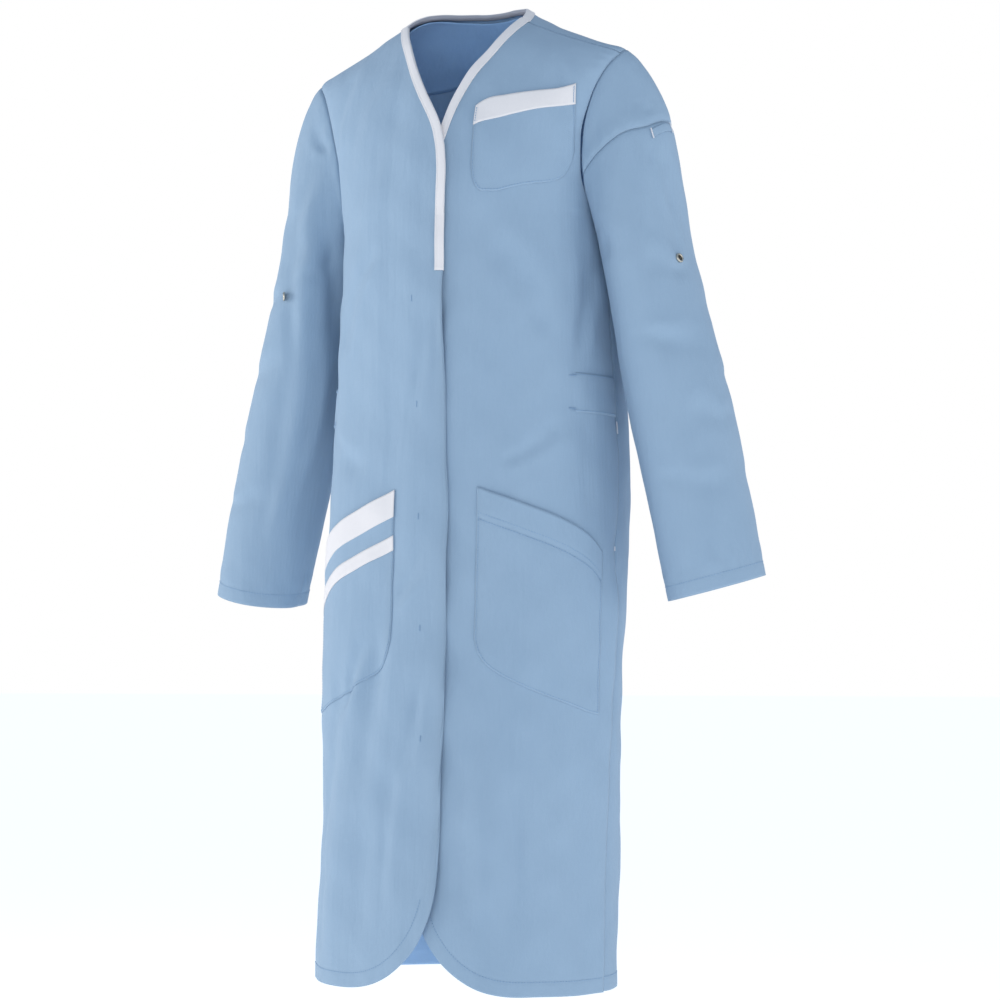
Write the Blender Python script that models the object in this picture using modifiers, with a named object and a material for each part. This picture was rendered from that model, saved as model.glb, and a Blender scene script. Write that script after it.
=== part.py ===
"""Long-sleeved medical coat, filled out as if worn, with nobody in it.

Metres, +Z up, the front faces -Y and the wearer's left is +X. The origin is midway
between the two neck points, where the wearer's shoulders carry the coat.

The cloth is cut as the real one is: two fronts that lap at the centre, one back, set-in
sleeves, a bound neck, patch pockets and a waist tab. Below the underarm the body is a tube of
horizontal sections. Above it each fore-and-aft slice is an arch over the shoulder: `turn` is
the angle along that arch, 0 at the front underarm level, 90 on the ridge and 180 at the back.
"""

import math

import bpy
import numpy as np
from mathutils import Vector

COAT = "medical_coat"

BLUE = (0.27, 0.43, 0.63)
WHITE = (0.76, 0.76, 0.80)
SNAP_METAL = (0.45, 0.42, 0.36)

# Cloth, metres.
WALL = 0.0010
PATCH_WALL = 0.0009
SEAM_GAP = 0.0009
SEAM_TURN_GAP = 0.34
LAYER_GAP = 0.0010

# Lengths and heights, metres.
HEM = -1.056
UNDERARM = -0.228
LAP = 0.0175
LAP_LIFT = 0.0056
HEM_CORNER_RISE = 0.134
HEM_CORNER_RUN = 0.132
NECK_HALF = 0.072
YOKE_HALF = 0.215
BINDING_WIDTH = 0.0090
BINDING_END = -0.290
LEFT_BINDING_TURN = 8
BACK_BINDING_DROP = 0.0009

# Angles along the shoulder arch, degrees.
SEAM_TURN = 74.0
BACK_NECK_TURN = 109.0
BACK_NECK_CORNER = 0.70
NECK_TRIM_TURN = 0.8
NECK_TRIM = 0.0012
FRONT_ARCH = 1.95
BACK_ARCH = 2.25

# The body tube. Depths run from the section's centre; squareness 2 is an ellipse.
SECTION_COLUMNS = ("height", "half_width", "centre", "front", "back", "squareness")
SECTIONS = (
    (-1.075, 0.1735, -0.022, 0.124, 0.124, 2.20),
    (-0.860, 0.1745, -0.012, 0.124, 0.125, 2.20),
    (-0.640, 0.1730, 0.003, 0.125, 0.125, 2.22),
    (-0.500, 0.1710, 0.011, 0.125, 0.119, 2.25),
    (-0.430, 0.1685, 0.014, 0.125, 0.115, 2.25),
    (-0.310, 0.1580, 0.014, 0.126, 0.111, 2.30),
    (-0.228, 0.1525, 0.013, 0.122, 0.109, 2.30),
)

# Where the side seam lies, as the section angle from the centre front.
SIDE_COLUMNS = ("height", "angle")
SIDE_SEAM = (
    (-1.075, 84.0),
    (-0.780, 84.5),
    (-0.620, 86.5),
    (-0.500, 89.5),
    (-0.228, 90.0),
)

# How far the two fronts have swung round towards the wearer's left as they hang.
SWING_COLUMNS = ("height", "swing")
SWING = (
    (-1.075, 0.0155),
    (-0.830, 0.0156),
    (-0.700, 0.0138),
    (-0.600, 0.0138),
    (-0.530, 0.0102),
    (-0.450, 0.0082),
    (-0.350, 0.0045),
    (-0.270, 0.0054),
    (-0.228, 0.0050),
)

# The shoulder ridge, from the middle of the neck out to the sleeve.
RIDGE_COLUMNS = ("x", "y", "height")
RIDGE = (
    (-0.020, 0.0170, 0.0392),
    (0.000, 0.0180, 0.0421),
    (0.020, 0.0170, 0.0392),
    (0.045, 0.0130, 0.0290),
    (0.063, 0.0095, 0.0194),
    (0.072, 0.0080, 0.0140),
    (0.120, 0.0000, -0.0125),
    (0.165, -0.0060, -0.0320),
    (0.192, -0.0080, -0.0445),
    (0.230, -0.0080, -0.0660),
)

# How far the shoulder line has sunk, from the middle of the neck to the wearer's left. The sunk
# part ends at LEAN_FOOT and is at its full depth LEAN_RISE above that.
LEAN_COLUMNS = ("x", "drop")
LEAN = (
    (-0.020, 0.0),
    (0.000, 0.0005),
    (0.020, 0.0015),
    (0.035, 0.0035),
    (0.050, 0.0065),
    (0.065, 0.0080),
    (0.080, 0.0100),
    (0.095, 0.0085),
    (0.120, 0.0062),
    (0.165, 0.0075),
    (0.230, 0.0080),
)
LEAN_FOOT = -0.160
LEAN_RISE = 0.110

# The armhole, as the distance out from the centre at each turn of the shoulder arch.
ARMHOLE_COLUMNS = ("turn", "x")
ARMHOLE = (
    (0.0, 0.1525),
    (4.0, 0.1505),
    (12.0, 0.1480),
    (24.0, 0.1510),
    (40.0, 0.1610),
    (60.0, 0.1770),
    (74.0, 0.1870),
    (90.0, 0.1910),
    (112.0, 0.1800),
    (130.0, 0.1690),
    (150.0, 0.1600),
    (168.0, 0.1520),
    (176.0, 0.1515),
    (180.0, 0.1525),
)

# The edge of each front up the V neck, as its distance out from the centre at each turn.
NECKLINE_COLUMNS = ("turn", "left", "right")
NECKLINE = (
    (0.0, -0.0125, -0.0225),
    (9.0, -0.0090, -0.0235),
    (15.0, 0.0045, -0.0214),
    (19.0, 0.0115, -0.0175),
    (22.0, 0.0155, -0.0130),
    (31.0, 0.0275, 0.0092),
    (41.0, 0.0420, 0.0304),
    (50.0, 0.0555, 0.0450),
    (62.0, 0.0665, 0.0606),
    (74.0, 0.0720, 0.0720),
)

# The largest folds of the body, as soft troughs in the cloth (a minus depth is a ridge).
# Distances run round the tube from the centre front, plus towards the wearer's left.
FOLD_COLUMNS = ("from_round", "from_height", "to_round", "to_height", "half_width", "depth")
FOLDS = (
    (-0.085, -0.690, -0.150, -0.800, 0.014, 0.0030),
    (-0.055, -0.640, -0.085, -0.860, 0.020, 0.0035),
    (-0.105, -0.820, -0.115, -1.075, 0.022, -0.0040),
    (-0.060, -0.860, -0.070, -1.020, 0.016, 0.0035),
    (0.075, -0.780, 0.085, -1.075, 0.026, -0.0040),
    (0.125, -0.760, 0.140, -1.075, 0.022, 0.0040),
    (-0.170, -0.760, -0.180, -1.075, 0.022, 0.0040),
    (0.330, -0.560, 0.320, -1.075, 0.030, 0.0050),
    (-0.330, -0.600, -0.345, -1.075, 0.028, 0.0050),
    (0.420, -0.620, 0.430, -1.075, 0.030, -0.0045),
    (-0.410, -0.560, -0.420, -1.075, 0.032, -0.0045),
)

# The sleeve. Its rings square up to an arm line that leaves the shoulder downwards.
ARM_TOP = (0.1985, 0.012, -0.240)
ARM_END = (0.2860, 0.009, -0.628)
SLEEVE_COLUMNS = ("along", "half_width", "half_depth")
SLEEVE_RINGS = (
    (0.00, 0.0435, 0.0640),
    (0.18, 0.0480, 0.0620),
    (0.50, 0.0540, 0.0580),
    (0.80, 0.0540, 0.0560),
    (1.00, 0.0530, 0.0540),
)
CUFF_TILT = 9.0
CAP_SHARE = 0.12

# The seam across the wearer's left sleeve: its distance down the sleeve head at each turn.
CROSS_SEAM_COLUMNS = ("turn", "travel")
CROSS_SEAM = (
    (13.0, 0.030),
    (26.0, 0.195),
    (40.0, 0.295),
    (63.0, 0.400),
    (90.0, 0.415),
    (117.0, 0.400),
    (140.0, 0.295),
    (155.0, 0.195),
    (167.0, 0.030),
)

# A hip pocket, from its edge near the front to the one near the side seam.
HIP_POCKET_COLUMNS = ("across", "top", "bottom")
HIP_POCKET = (
    (0.000, -0.5210, -0.6820),
    (0.004, -0.5225, -0.6950),
    (0.013, -0.5260, -0.7080),
    (0.030, -0.5320, -0.7200),
    (0.055, -0.5410, -0.7320),
    (0.080, -0.5500, -0.7420),
    (0.105, -0.5610, -0.7510),
    (0.128, -0.5750, -0.7590),
    (0.142, -0.5880, -0.7620),
)
HIP_POCKET_IN = 0.0490
WIDE_BAND = (0.000, 0.029)
NARROW_BAND = (0.049, 0.065)

# The chest pocket, as turns of the shoulder arch.
CHEST_POCKET_COLUMNS = ("x", "bottom", "band", "top")
CHEST_POCKET = (
    (0.0505, 11.1, 22.2, 28.2),
    (0.0540, 7.2, 22.8, 29.3),
    (0.0620, 5.2, 23.8, 30.9),
    (0.0750, 5.2, 25.5, 33.1),
    (0.0920, 6.3, 27.8, 35.2),
    (0.1090, 7.5, 30.2, 37.3),
    (0.1250, 8.6, 32.6, 39.9),
    (0.1350, 10.4, 34.3, 42.2),
    (0.1410, 13.9, 35.2, 43.6),
    (0.1440, 18.9, 35.7, 44.5),
)
CHEST_POCKET_FLARE = 0.0045

# The waist tab, the pen pocket's welt and the back neck facing.
TAB_FRONT = 0.160
TAB_TOP = -0.398
TAB_BOTTOM = -0.441
WELT_TURNS = (62.0, 92.0)
WELT_TRAVEL = (0.424, 0.462)
FACING_HALF = 0.155
FACING_LOW_TURN = 133.0
FACING_GAP = 0.0050

# Sleeve snaps: name, side, turn and travel of each, and their sizes.
SNAPS = (("left", 1, 66.0, 1.02), ("right", -1, 31.0, 1.02))
SNAP_RADIUS = 0.0052
SNAP_HEIGHT = 0.0022
SNAP_STAND = 0.0006

# Shared subdivisions, so that edges which meet are cut at the same points.
BODY_ROWS = 22
YOKE_TURNS = (0, 4, 8, 13, 19, 26, 33, 41, 49, 57, 66, 74)
BACK_TURNS = (74, 79, 84, 94, 105, 116, 127, 138, 149, 159, 167, 173, 177, 180)
FRONT_COLUMNS = 13
SLEEVE_HEAD_ROWS = 6
SLEEVE_ROWS = 12


def column(table, columns, name):
    """One named column of a table, as an array."""
    return np.array([row[columns.index(name)] for row in table], float)


def smooth(at, known, values):
    """Monotone cubic through (known, values), read at `at`."""
    at = np.clip(np.asarray(at, float), known[0], known[-1])
    step = np.diff(known)
    slope = np.diff(values) / step
    tangent = np.zeros(len(known))
    tangent[0], tangent[-1] = slope[0], slope[-1]
    same = slope[:-1] * slope[1:] > 0
    mean = 2 * slope[:-1] * slope[1:] / np.where(same, slope[:-1] + slope[1:], 1.0)
    tangent[1:-1] = np.where(same, mean, 0.0)
    i = np.clip(np.searchsorted(known, at, side="right") - 1, 0, len(step) - 1)
    t = (at - known[i]) / step[i]
    return (
        values[i] * (1 + 2 * t) * (1 - t) ** 2
        + tangent[i] * step[i] * t * (1 - t) ** 2
        + values[i + 1] * t**2 * (3 - 2 * t)
        + tangent[i + 1] * step[i] * t**2 * (t - 1)
    )


def reader(table, columns, key):
    """A function that reads one named column of a table at any value of its key column."""
    known = column(table, columns, key)

    def read(name, at):
        return smooth(at, known, column(table, columns, name))

    return read


section = reader(SECTIONS, SECTION_COLUMNS, "height")
side_seam = reader(SIDE_SEAM, SIDE_COLUMNS, "height")
ridge = reader(RIDGE, RIDGE_COLUMNS, "x")
armhole = reader(ARMHOLE, ARMHOLE_COLUMNS, "turn")
neckline = reader(NECKLINE, NECKLINE_COLUMNS, "turn")
swing = reader(SWING, SWING_COLUMNS, "height")
lean = reader(LEAN, LEAN_COLUMNS, "x")
sleeve_ring = reader(SLEEVE_RINGS, SLEEVE_COLUMNS, "along")
cross_seam = reader(CROSS_SEAM, CROSS_SEAM_COLUMNS, "turn")
hip_pocket = reader(HIP_POCKET, HIP_POCKET_COLUMNS, "across")
chest_pocket = reader(CHEST_POCKET, CHEST_POCKET_COLUMNS, "x")


def ease(t):
    """0 to 1 with level ends."""
    t = np.clip(t, 0.0, 1.0)
    return t * t * (3 - 2 * t)


def unit(vectors):
    """The vectors at length one."""
    return vectors / np.linalg.norm(vectors, axis=-1, keepdims=True)


# ---------------------------------------------------------------- the bare body form

ANGLE_STEPS = np.linspace(0, math.pi, 241)


def tube(angle, height):
    """The smooth body tube at a section angle (radians from the centre front)."""
    power = 2 / section("squareness", height)
    sine, cosine = np.sin(angle), np.cos(angle)
    x = section("half_width", height) * np.sign(sine) * np.abs(sine) ** power
    reach = np.abs(cosine) ** power
    depth = np.where(cosine >= 0, -section("front", height), section("back", height))
    y = section("centre", height) + depth * reach
    return np.stack([x, y, height + 0 * x], axis=-1)


def girth(height):
    """Distance round the tube from the centre front at each of ANGLE_STEPS."""
    ring = tube(ANGLE_STEPS, np.asarray(height, float)[..., None])
    legs = np.linalg.norm(np.diff(ring, axis=-2), axis=-1)
    return np.concatenate([np.zeros(legs.shape[:-1] + (1,)), np.cumsum(legs, axis=-1)], axis=-1)


def fold_relief(distance, height):
    """How far the folds push the cloth out of the smooth tube."""
    total = np.zeros(np.broadcast(distance, height).shape)
    for x0, z0, x1, z1, half_width, depth in FOLDS:
        run, rise = x1 - x0, z1 - z0
        along = np.clip(((distance - x0) * run + (height - z0) * rise) / (run**2 + rise**2), 0, 1)
        away = np.hypot(distance - x0 - along * run, (height - z0 - along * rise) * 0.6)
        fade = ease(along / 0.35) if z1 <= HEM else ease(along / 0.3) * ease((1 - along) / 0.3)
        total -= depth * fade * np.exp(-((away / half_width) ** 2))
    return total


def body(distance, height):
    """The bare tube, with its folds, at a distance round from the centre front."""
    distance, height = np.broadcast_arrays(np.asarray(distance, float), np.asarray(height, float))
    rings = girth(height.ravel())
    angles = [
        np.sign(d) * np.interp(abs(d), ring, ANGLE_STEPS)
        for d, ring in zip(distance.ravel(), rings)
    ]
    angles = np.array(angles).reshape(distance.shape)
    here = tube(angles, height)
    ahead = tube(angles + 1e-3, height)
    tangent = unit(ahead - here)
    outward = np.stack([-tangent[..., 1], tangent[..., 0], 0 * tangent[..., 0]], axis=-1)
    sense = np.sign(np.sum(outward * (here - centre_of(height)), axis=-1, keepdims=True))
    relief = fold_relief(distance, height) * ease((UNDERARM - height) / 0.1)
    return here + outward * sense * relief[..., None]


def centre_of(height):
    """The middle of the body section at a height."""
    return np.stack([0 * height, section("centre", height), height], axis=-1)


def side_distance(height):
    """How far round the tube the side seam lies from the centre front."""
    height = np.asarray(height, float)
    angles = np.radians(side_seam("angle", height)).ravel()
    flat = [np.interp(a, ANGLE_STEPS, ring) for a, ring in zip(angles, girth(height.ravel()))]
    return np.array(flat).reshape(height.shape)


def half_girth(height):
    """Half the distance round the tube."""
    return girth(height)[..., -1]


def shoulder(x, turn):
    """The bare shoulder arch at a distance out from the centre and a turn in degrees."""
    x, turn = np.broadcast_arrays(np.asarray(x, float), np.asarray(turn, float))
    front = turn < 90
    start = section("half_width", UNDERARM)
    half = start + (YOKE_HALF - start) * ease(1 - np.abs(turn - 90) / 90)
    power = section("squareness", UNDERARM)
    bow = (1 - np.clip(np.abs(x) / half, 0, 1) ** power) ** (1 / power)
    depth = np.where(front, -section("front", UNDERARM), section("back", UNDERARM))
    base = section("centre", UNDERARM) + depth * bow
    arch = 2 / np.where(front, FRONT_ARCH, BACK_ARCH)
    reach = np.abs(np.cos(np.radians(turn))) ** arch
    rise = np.abs(np.sin(np.radians(turn))) ** arch
    y = ridge("y", np.abs(x)) + (base - ridge("y", np.abs(x))) * reach
    z = UNDERARM + (ridge("height", np.abs(x)) - UNDERARM) * rise
    return np.stack([x, y, z], axis=-1)


# ---------------------------------------------------------------- panels

def mirrored(points, side):
    """Points made for the wearer's left, put on the given side (+1 left, -1 right)."""
    return points * np.array([side, 1.0, 1.0])


def leaned(points):
    """The points with the shoulder line sunk on the wearer's left."""
    share = ease((points[..., 2] - LEAN_FOOT) / LEAN_RISE)
    down = np.array([0.0, 0.0, -1.0])
    return points + down * (lean("drop", points[..., 0]) * share)[..., None]


def front_name(side):
    """The column of NECKLINE for a side."""
    return "left" if side > 0 else "right"


def lap(side, height):
    """How far past the centre front a front's edge lies."""
    return LAP - side * swing("swing", height)


def lap_lift(side, across, height):
    """How far the lapping right front stands off the left one under it."""
    if side > 0:
        return 0 * across
    return LAP_LIFT * (1 - ease((across - lap(1, height) - 0.004) / 0.040))


def raised(point, across, level, step, lift):
    """A surface point moved out along the surface's own normal."""
    here = point(across, level)
    right = point(across + 5e-4, level) - here
    up = point(across, level + step) - here
    return here + unit(np.cross(right, up)) * np.asarray(lift)[..., None]


def front_low(side, across, height, lift=0.0):
    """A front below the underarm: distance in from the centre front, height, lift off it."""
    across, height = np.broadcast_arrays(np.asarray(across, float), np.asarray(height, float))
    lift = lap_lift(side, across, height) + lift
    return raised(body, side * across, height, 5e-4, lift)


def front_high(side, across, turn, lift=0.0):
    """A front above the underarm: distance out from the centre, turn, lift off it."""
    across, turn = np.broadcast_arrays(np.asarray(across, float), np.asarray(turn, float))
    lift = lap_lift(side, across, UNDERARM + 0 * across) + lift
    return mirrored(raised(shoulder, across, turn, 0.05, lift), side)


def back_high(across, turn, lift=0.0):
    """The back above the underarm: distance out from the centre, turn, lift off it."""
    across, turn = np.broadcast_arrays(np.asarray(across, float), np.asarray(turn, float))
    return raised(shoulder, across, turn, 0.05, lift + 0 * across)


def hem_height(inward):
    """Height of the hem at a distance in from the front edge, with its rounded corner."""
    t = np.clip(1 - inward / HEM_CORNER_RUN, 0, 1)
    return HEM + HEM_CORNER_RISE * (1 - np.sqrt(1 - t**2.4))


def front_spread():
    """Where the columns of a front lie, 0 on its front edge and 1 at its side."""
    near = np.array([0.0, 0.012, 0.045, 0.10, 0.175, 0.265])
    far = np.linspace(0.265, 1.0, FRONT_COLUMNS - len(near) + 2)[1:]
    return np.concatenate([near, far])


def front_grid(side):
    """One front from hem to shoulder seam, as rows of points."""
    spread = front_spread()
    rows = []
    for v in np.linspace(0, 1, BODY_ROWS + 1):
        level = UNDERARM + (HEM - UNDERARM) * (1 - v)
        edge = -lap(side, level)
        across = edge + (side_distance(level) - SEAM_GAP / 2 - edge) * spread
        bottom = hem_height(across - edge)
        height = UNDERARM - (1 - v) * (UNDERARM - bottom)
        rows.append(front_low(side, across, height))
    edge = -lap(side, UNDERARM)
    top = body(edge + (side_distance(UNDERARM) - edge) * spread, UNDERARM)[:, 0]
    share = (top - edge) / (top[-1] - edge)
    for turn in YOKE_TURNS[1:]:
        level = turn - (SEAM_TURN_GAP if turn == SEAM_TURN else 0.0)
        start, end = neckline(front_name(side), turn), armhole("x", turn)
        rows.append(front_high(side, start + (end - start) * share, level))
    return np.array(rows)


def back_top_turn(share):
    """Where the back stops: at the shoulder seam, or at the neck between the neck points."""
    neck = NECK_HALF / armhole("x", SEAM_TURN)
    inside = np.clip(1 - (share / neck) ** 2, 0, 1)
    return SEAM_TURN + SEAM_TURN_GAP + (BACK_NECK_TURN - SEAM_TURN) * inside**BACK_NECK_CORNER


def back_spread():
    """Where the columns of the back lie, -1 and 1 at its sides, with some on the neck points."""
    neck = NECK_HALF / armhole("x", SEAM_TURN)
    inner = neck * np.array([0.0, 0.28, 0.53, 0.73, 0.86, 0.935, 0.985, 1.0])
    half = np.concatenate([inner, neck + (1 - neck) * np.linspace(0, 1, 6)[1:]])
    return np.concatenate([-half[:0:-1], half])


def back_grid():
    """The back, from hem to neck and shoulder seams, as rows of points."""
    share = back_spread()
    even = np.linspace(-1, 1, len(share))
    sense = np.where(even < 0, -1.0, 1.0)
    rows = []
    for v in np.linspace(0, 1, BODY_ROWS + 1):
        height = UNDERARM + (HEM - UNDERARM) * (1 - v)
        half = half_girth(height)
        reach = half - side_distance(height) - SEAM_GAP / 2
        rows.append(body(sense * (half - reach * np.abs(even)), height + 0 * even))
    low_share = rows[-1][:, 0] / armhole("x", 180.0)
    neck = share * armhole("x", SEAM_TURN) / NECK_HALF
    at_neck = np.abs(neck) < 1 + 1e-6
    stop = back_top_turn(share) + NECK_TRIM_TURN * np.sqrt(np.clip(1 - neck**2, 0, 1))
    aside = np.where(at_neck, NECK_TRIM * neck, 0.0)
    for turn in BACK_TURNS[-2::-1]:
        part = (180 - turn) / (180 - SEAM_TURN)
        level = 180 - (180 - stop) * part
        here = low_share + (share - low_share) * ease(part)
        rows.append(shoulder(here * armhole("x", level) + aside * (turn == SEAM_TURN), level))
    return np.array(rows)


# ---------------------------------------------------------------- sleeves

SLEEVE_TURNS = tuple(YOKE_TURNS) + tuple(BACK_TURNS[1:-1])


def armhole_ring():
    """The armhole of the wearer's left as a ring of points from the underarm round."""
    turns = np.array(SLEEVE_TURNS, float)
    return shoulder(armhole("x", turns), turns)


def arm_frame():
    """The arm line's start, length and its outward, forward and downward directions."""
    start, end = np.array(ARM_TOP), np.array(ARM_END)
    down = unit(end - start)
    forward = unit(np.array([0.0, -1.0, 0.0]) - down * np.dot([0.0, -1.0, 0.0], down))
    outward = np.cross(forward, down)
    outward = outward if outward[0] > 0 else -outward
    return start, np.linalg.norm(end - start), outward, forward, down


def sleeve_angles():
    """The ring angle of each armhole point: 0 at the inner arm, 90 in front, 180 outside."""
    ring = armhole_ring()
    legs = np.linalg.norm(np.diff(np.vstack([ring, ring[:1]]), axis=0), axis=1)
    run = np.concatenate([[0.0], np.cumsum(legs)])
    crest = SLEEVE_TURNS.index(94)
    front = np.pi * run[: crest + 1] / run[crest]
    rear = np.pi + np.pi * (run[crest + 1 : -1] - run[crest]) / (run[-1] - run[crest])
    return np.concatenate([front, rear])


def sleeve_tube(angle, along):
    """The arm tube at a ring angle and a share of the arm line."""
    start, length, outward, forward, down = arm_frame()
    half_width = sleeve_ring("half_width", along)
    half_depth = sleeve_ring("half_depth", along)
    out = -np.cos(angle) * half_width
    ahead = np.sin(angle) * half_depth
    drop = along * length + ahead * math.tan(math.radians(CUFF_TILT)) * along
    return (
        start
        + out[..., None] * outward
        + ahead[..., None] * forward
        + np.asarray(drop)[..., None] * down
    )


def sleeve_at(turn, travel):
    """The wearer's left sleeve. Travel is 0 at the armhole, 1 at the first ring, 2 at the cuff."""
    turn, travel = np.broadcast_arrays(np.asarray(turn, float), np.asarray(travel, float))
    known = np.array(SLEEVE_TURNS + (180,), float)
    angle = np.interp(turn, known, np.append(sleeve_angles(), 2 * np.pi))
    start = shoulder(armhole("x", turn), turn)
    target = sleeve_tube(angle, CAP_SHARE + 0 * angle)
    down = arm_frame()[4]
    high = ease((start[..., 2:] - UNDERARM) / 0.17)
    leave = unit(down * (1.15 - high) + np.array([1.0, 0.0, -0.85]) * high)
    gap = np.linalg.norm(target - start, axis=-1, keepdims=True)
    t = np.clip(travel, 0, 1)[..., None]
    cap = (
        (start + leave * SEAM_GAP) * (1 + 2 * t) * (1 - t) ** 2
        + target * t**2 * (3 - 2 * t)
        + gap * (leave * t * (1 - t) ** 2 + down * t**2 * (t - 1))
    )
    arm = sleeve_tube(angle, CAP_SHARE + (1 - CAP_SHARE) * np.clip(travel - 1, 0, 1))
    return np.where(travel[..., None] < 1, cap, arm)


def sleeve_raised(turn, travel, lift):
    """A point that stands off the wearer's left sleeve."""
    here = sleeve_at(turn, travel)
    round_arm = sleeve_at(turn + 0.5, travel) - here
    along_arm = sleeve_at(turn, travel + 0.01) - here
    return here + unit(np.cross(along_arm, round_arm)) * lift


def seam_travel(turn):
    """Where the cross seam of the wearer's left sleeve lies at each turn."""
    turn = np.asarray(turn, float)
    inside = (turn >= CROSS_SEAM[0][0]) & (turn <= CROSS_SEAM[-1][0])
    return np.where(inside, cross_seam("travel", turn), 0.0)


def sleeve_grid(turns, start, stop, rows):
    """Rows of sleeve points between two travels, each a value or an array over the turns."""
    turns = np.asarray(turns, float)
    return np.array([
        sleeve_at(turns, start + (stop - start) * v) for v in np.linspace(0, 1, rows + 1)
    ])


def whole_sleeve():
    """The sleeve that has no cross seam, from armhole to cuff."""
    head = sleeve_grid(SLEEVE_TURNS, 0, 1, SLEEVE_HEAD_ROWS)
    arm = sleeve_grid(SLEEVE_TURNS, 1, 2, SLEEVE_ROWS)
    return np.concatenate([head, arm[1:]])


def lower_sleeve():
    """The sleeve with a cross seam, below that seam."""
    start = seam_travel(SLEEVE_TURNS)
    start = np.where(start > 0, start + 0.006, 0.0)
    head = sleeve_grid(SLEEVE_TURNS, start, 1, SLEEVE_HEAD_ROWS)
    arm = sleeve_grid(SLEEVE_TURNS, 1, 2, SLEEVE_ROWS)
    return np.concatenate([head, arm[1:]])


def upper_sleeve():
    """The sleeve head above its cross seam."""
    first, last = CROSS_SEAM[0][0], CROSS_SEAM[-1][0]
    turns = [turn for turn in SLEEVE_TURNS if first <= turn <= last]
    return sleeve_grid(turns, 0, seam_travel(turns), 3)


# ---------------------------------------------------------------- what lies on the panels

def hip_pocket_grid(side, span, rows, lift):
    """A hip pocket, or a band across it that spans two distances below its top edge."""
    across = column(HIP_POCKET, HIP_POCKET_COLUMNS, "across")
    top, bottom = hip_pocket("top", across), hip_pocket("bottom", across)
    if span:
        top, bottom = top - span[0], top - span[1]
    start = HIP_POCKET_IN + side * swing("swing", -0.60)
    levels = [bottom + (top - bottom) * v for v in np.linspace(0, 1, rows + 1)]
    return np.array([front_low(side, start + across, level, lift) for level in levels])


def chest_pocket_grid(low, high, rows, lift):
    """The chest pocket, or its band, between two of its named edges."""
    x = column(CHEST_POCKET, CHEST_POCKET_COLUMNS, "x")
    bottom, top = chest_pocket(low, x), chest_pocket(high, x)
    spread = CHEST_POCKET_FLARE * ease((x - 0.08) / 0.07)
    grid = []
    for v in np.linspace(0, 1, rows + 1):
        turn = bottom + (top - bottom) * v
        flare = spread * np.clip((turn - 14) / 18, 0, 1)
        grid.append(front_high(1, x + flare, turn, lift))
    return np.array(grid)


def tab_grid(side, lift):
    """The waist tab, from its stitched front end to the side seam."""
    heights = np.linspace(TAB_BOTTOM, TAB_TOP, 4)
    reach = side_distance(heights) - TAB_FRONT - 0.0015
    share = np.linspace(0, 1, 6)
    return np.array([
        front_low(side, TAB_FRONT + r * share, h, lift) for h, r in zip(heights, reach)
    ])


def welt_grid(lift):
    """The welt of the pen pocket, just under the cross seam on the outer arm."""
    turns = np.linspace(*WELT_TURNS, 8)
    return np.array([
        sleeve_raised(turns, travel + 0 * turns, lift) for travel in np.linspace(*WELT_TRAVEL, 3)
    ])


def facing_grid():
    """The half-moon facing inside the back neck."""
    x = np.linspace(-0.98, 0.98, 23) * FACING_HALF
    top = back_top_turn(x / armhole("x", SEAM_TURN)) + 3.0
    low = SEAM_TURN + 6 + (FACING_LOW_TURN - SEAM_TURN - 6) * np.sqrt(1 - (x / FACING_HALF) ** 4)
    low = np.maximum(low, top + 4)
    lift = -(WALL + FACING_GAP)
    rows = [back_high(x, low + (top - low) * v, lift) for v in np.linspace(0, 1, 5)]
    return np.array(rows)


def neck_path():
    """The neck edge as points, with the way into the cloth and out of it at each."""
    points, ways_in, ways_out = [], [], []

    def add(edge, inner, outer):
        points.append(edge)
        ways_in.append(inner - edge)
        ways_out.append(outer - edge)

    def front(side, turns):
        for turn in turns:
            turn = turn - (SEAM_TURN_GAP if turn == SEAM_TURN else 0.0)
            edge = neckline(front_name(side), turn)
            add(*(
                front_high(side, edge + step, turn, lift)
                for step, lift in ((0, 0.0), (0.002, 0.0), (0, 0.002))
            ))

    front(1, [turn for turn in YOKE_TURNS if turn >= LEFT_BINDING_TURN])
    neck = NECK_HALF / armhole("x", SEAM_TURN)
    for share in back_spread()[::-1]:
        if abs(share) < neck + 1e-6:
            turn = back_top_turn(share)
            x, round_neck = share * armhole("x", turn), share / neck
            inner = x + 0.002 * round_neck, turn + 0.8 * math.sqrt(max(0, 1 - round_neck**2))
            add(back_high(x, turn), back_high(*inner), back_high(x, turn, 0.002))
    front(-1, YOKE_TURNS[::-1])
    for height in binding_heights():
        edge = -lap(-1, height)
        add(*(
            front_low(-1, edge + step, height, lift)
            for step, lift in ((0, 0.0), (0.002, 0.0), (0, 0.002))
        ))
    return np.array(points), np.array(ways_in), np.array(ways_out)


def binding_heights():
    """Where the binding is cut below the underarm, so that it follows the front's rows."""
    edge_low = HEM + HEM_CORNER_RISE
    rows = [UNDERARM - (1 - v) * (UNDERARM - edge_low) for v in np.linspace(0, 1, BODY_ROWS + 1)]
    inside = [height for height in rows[::-1][1:] if height > BINDING_END + 0.004]
    return inside + [BINDING_END]


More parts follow.
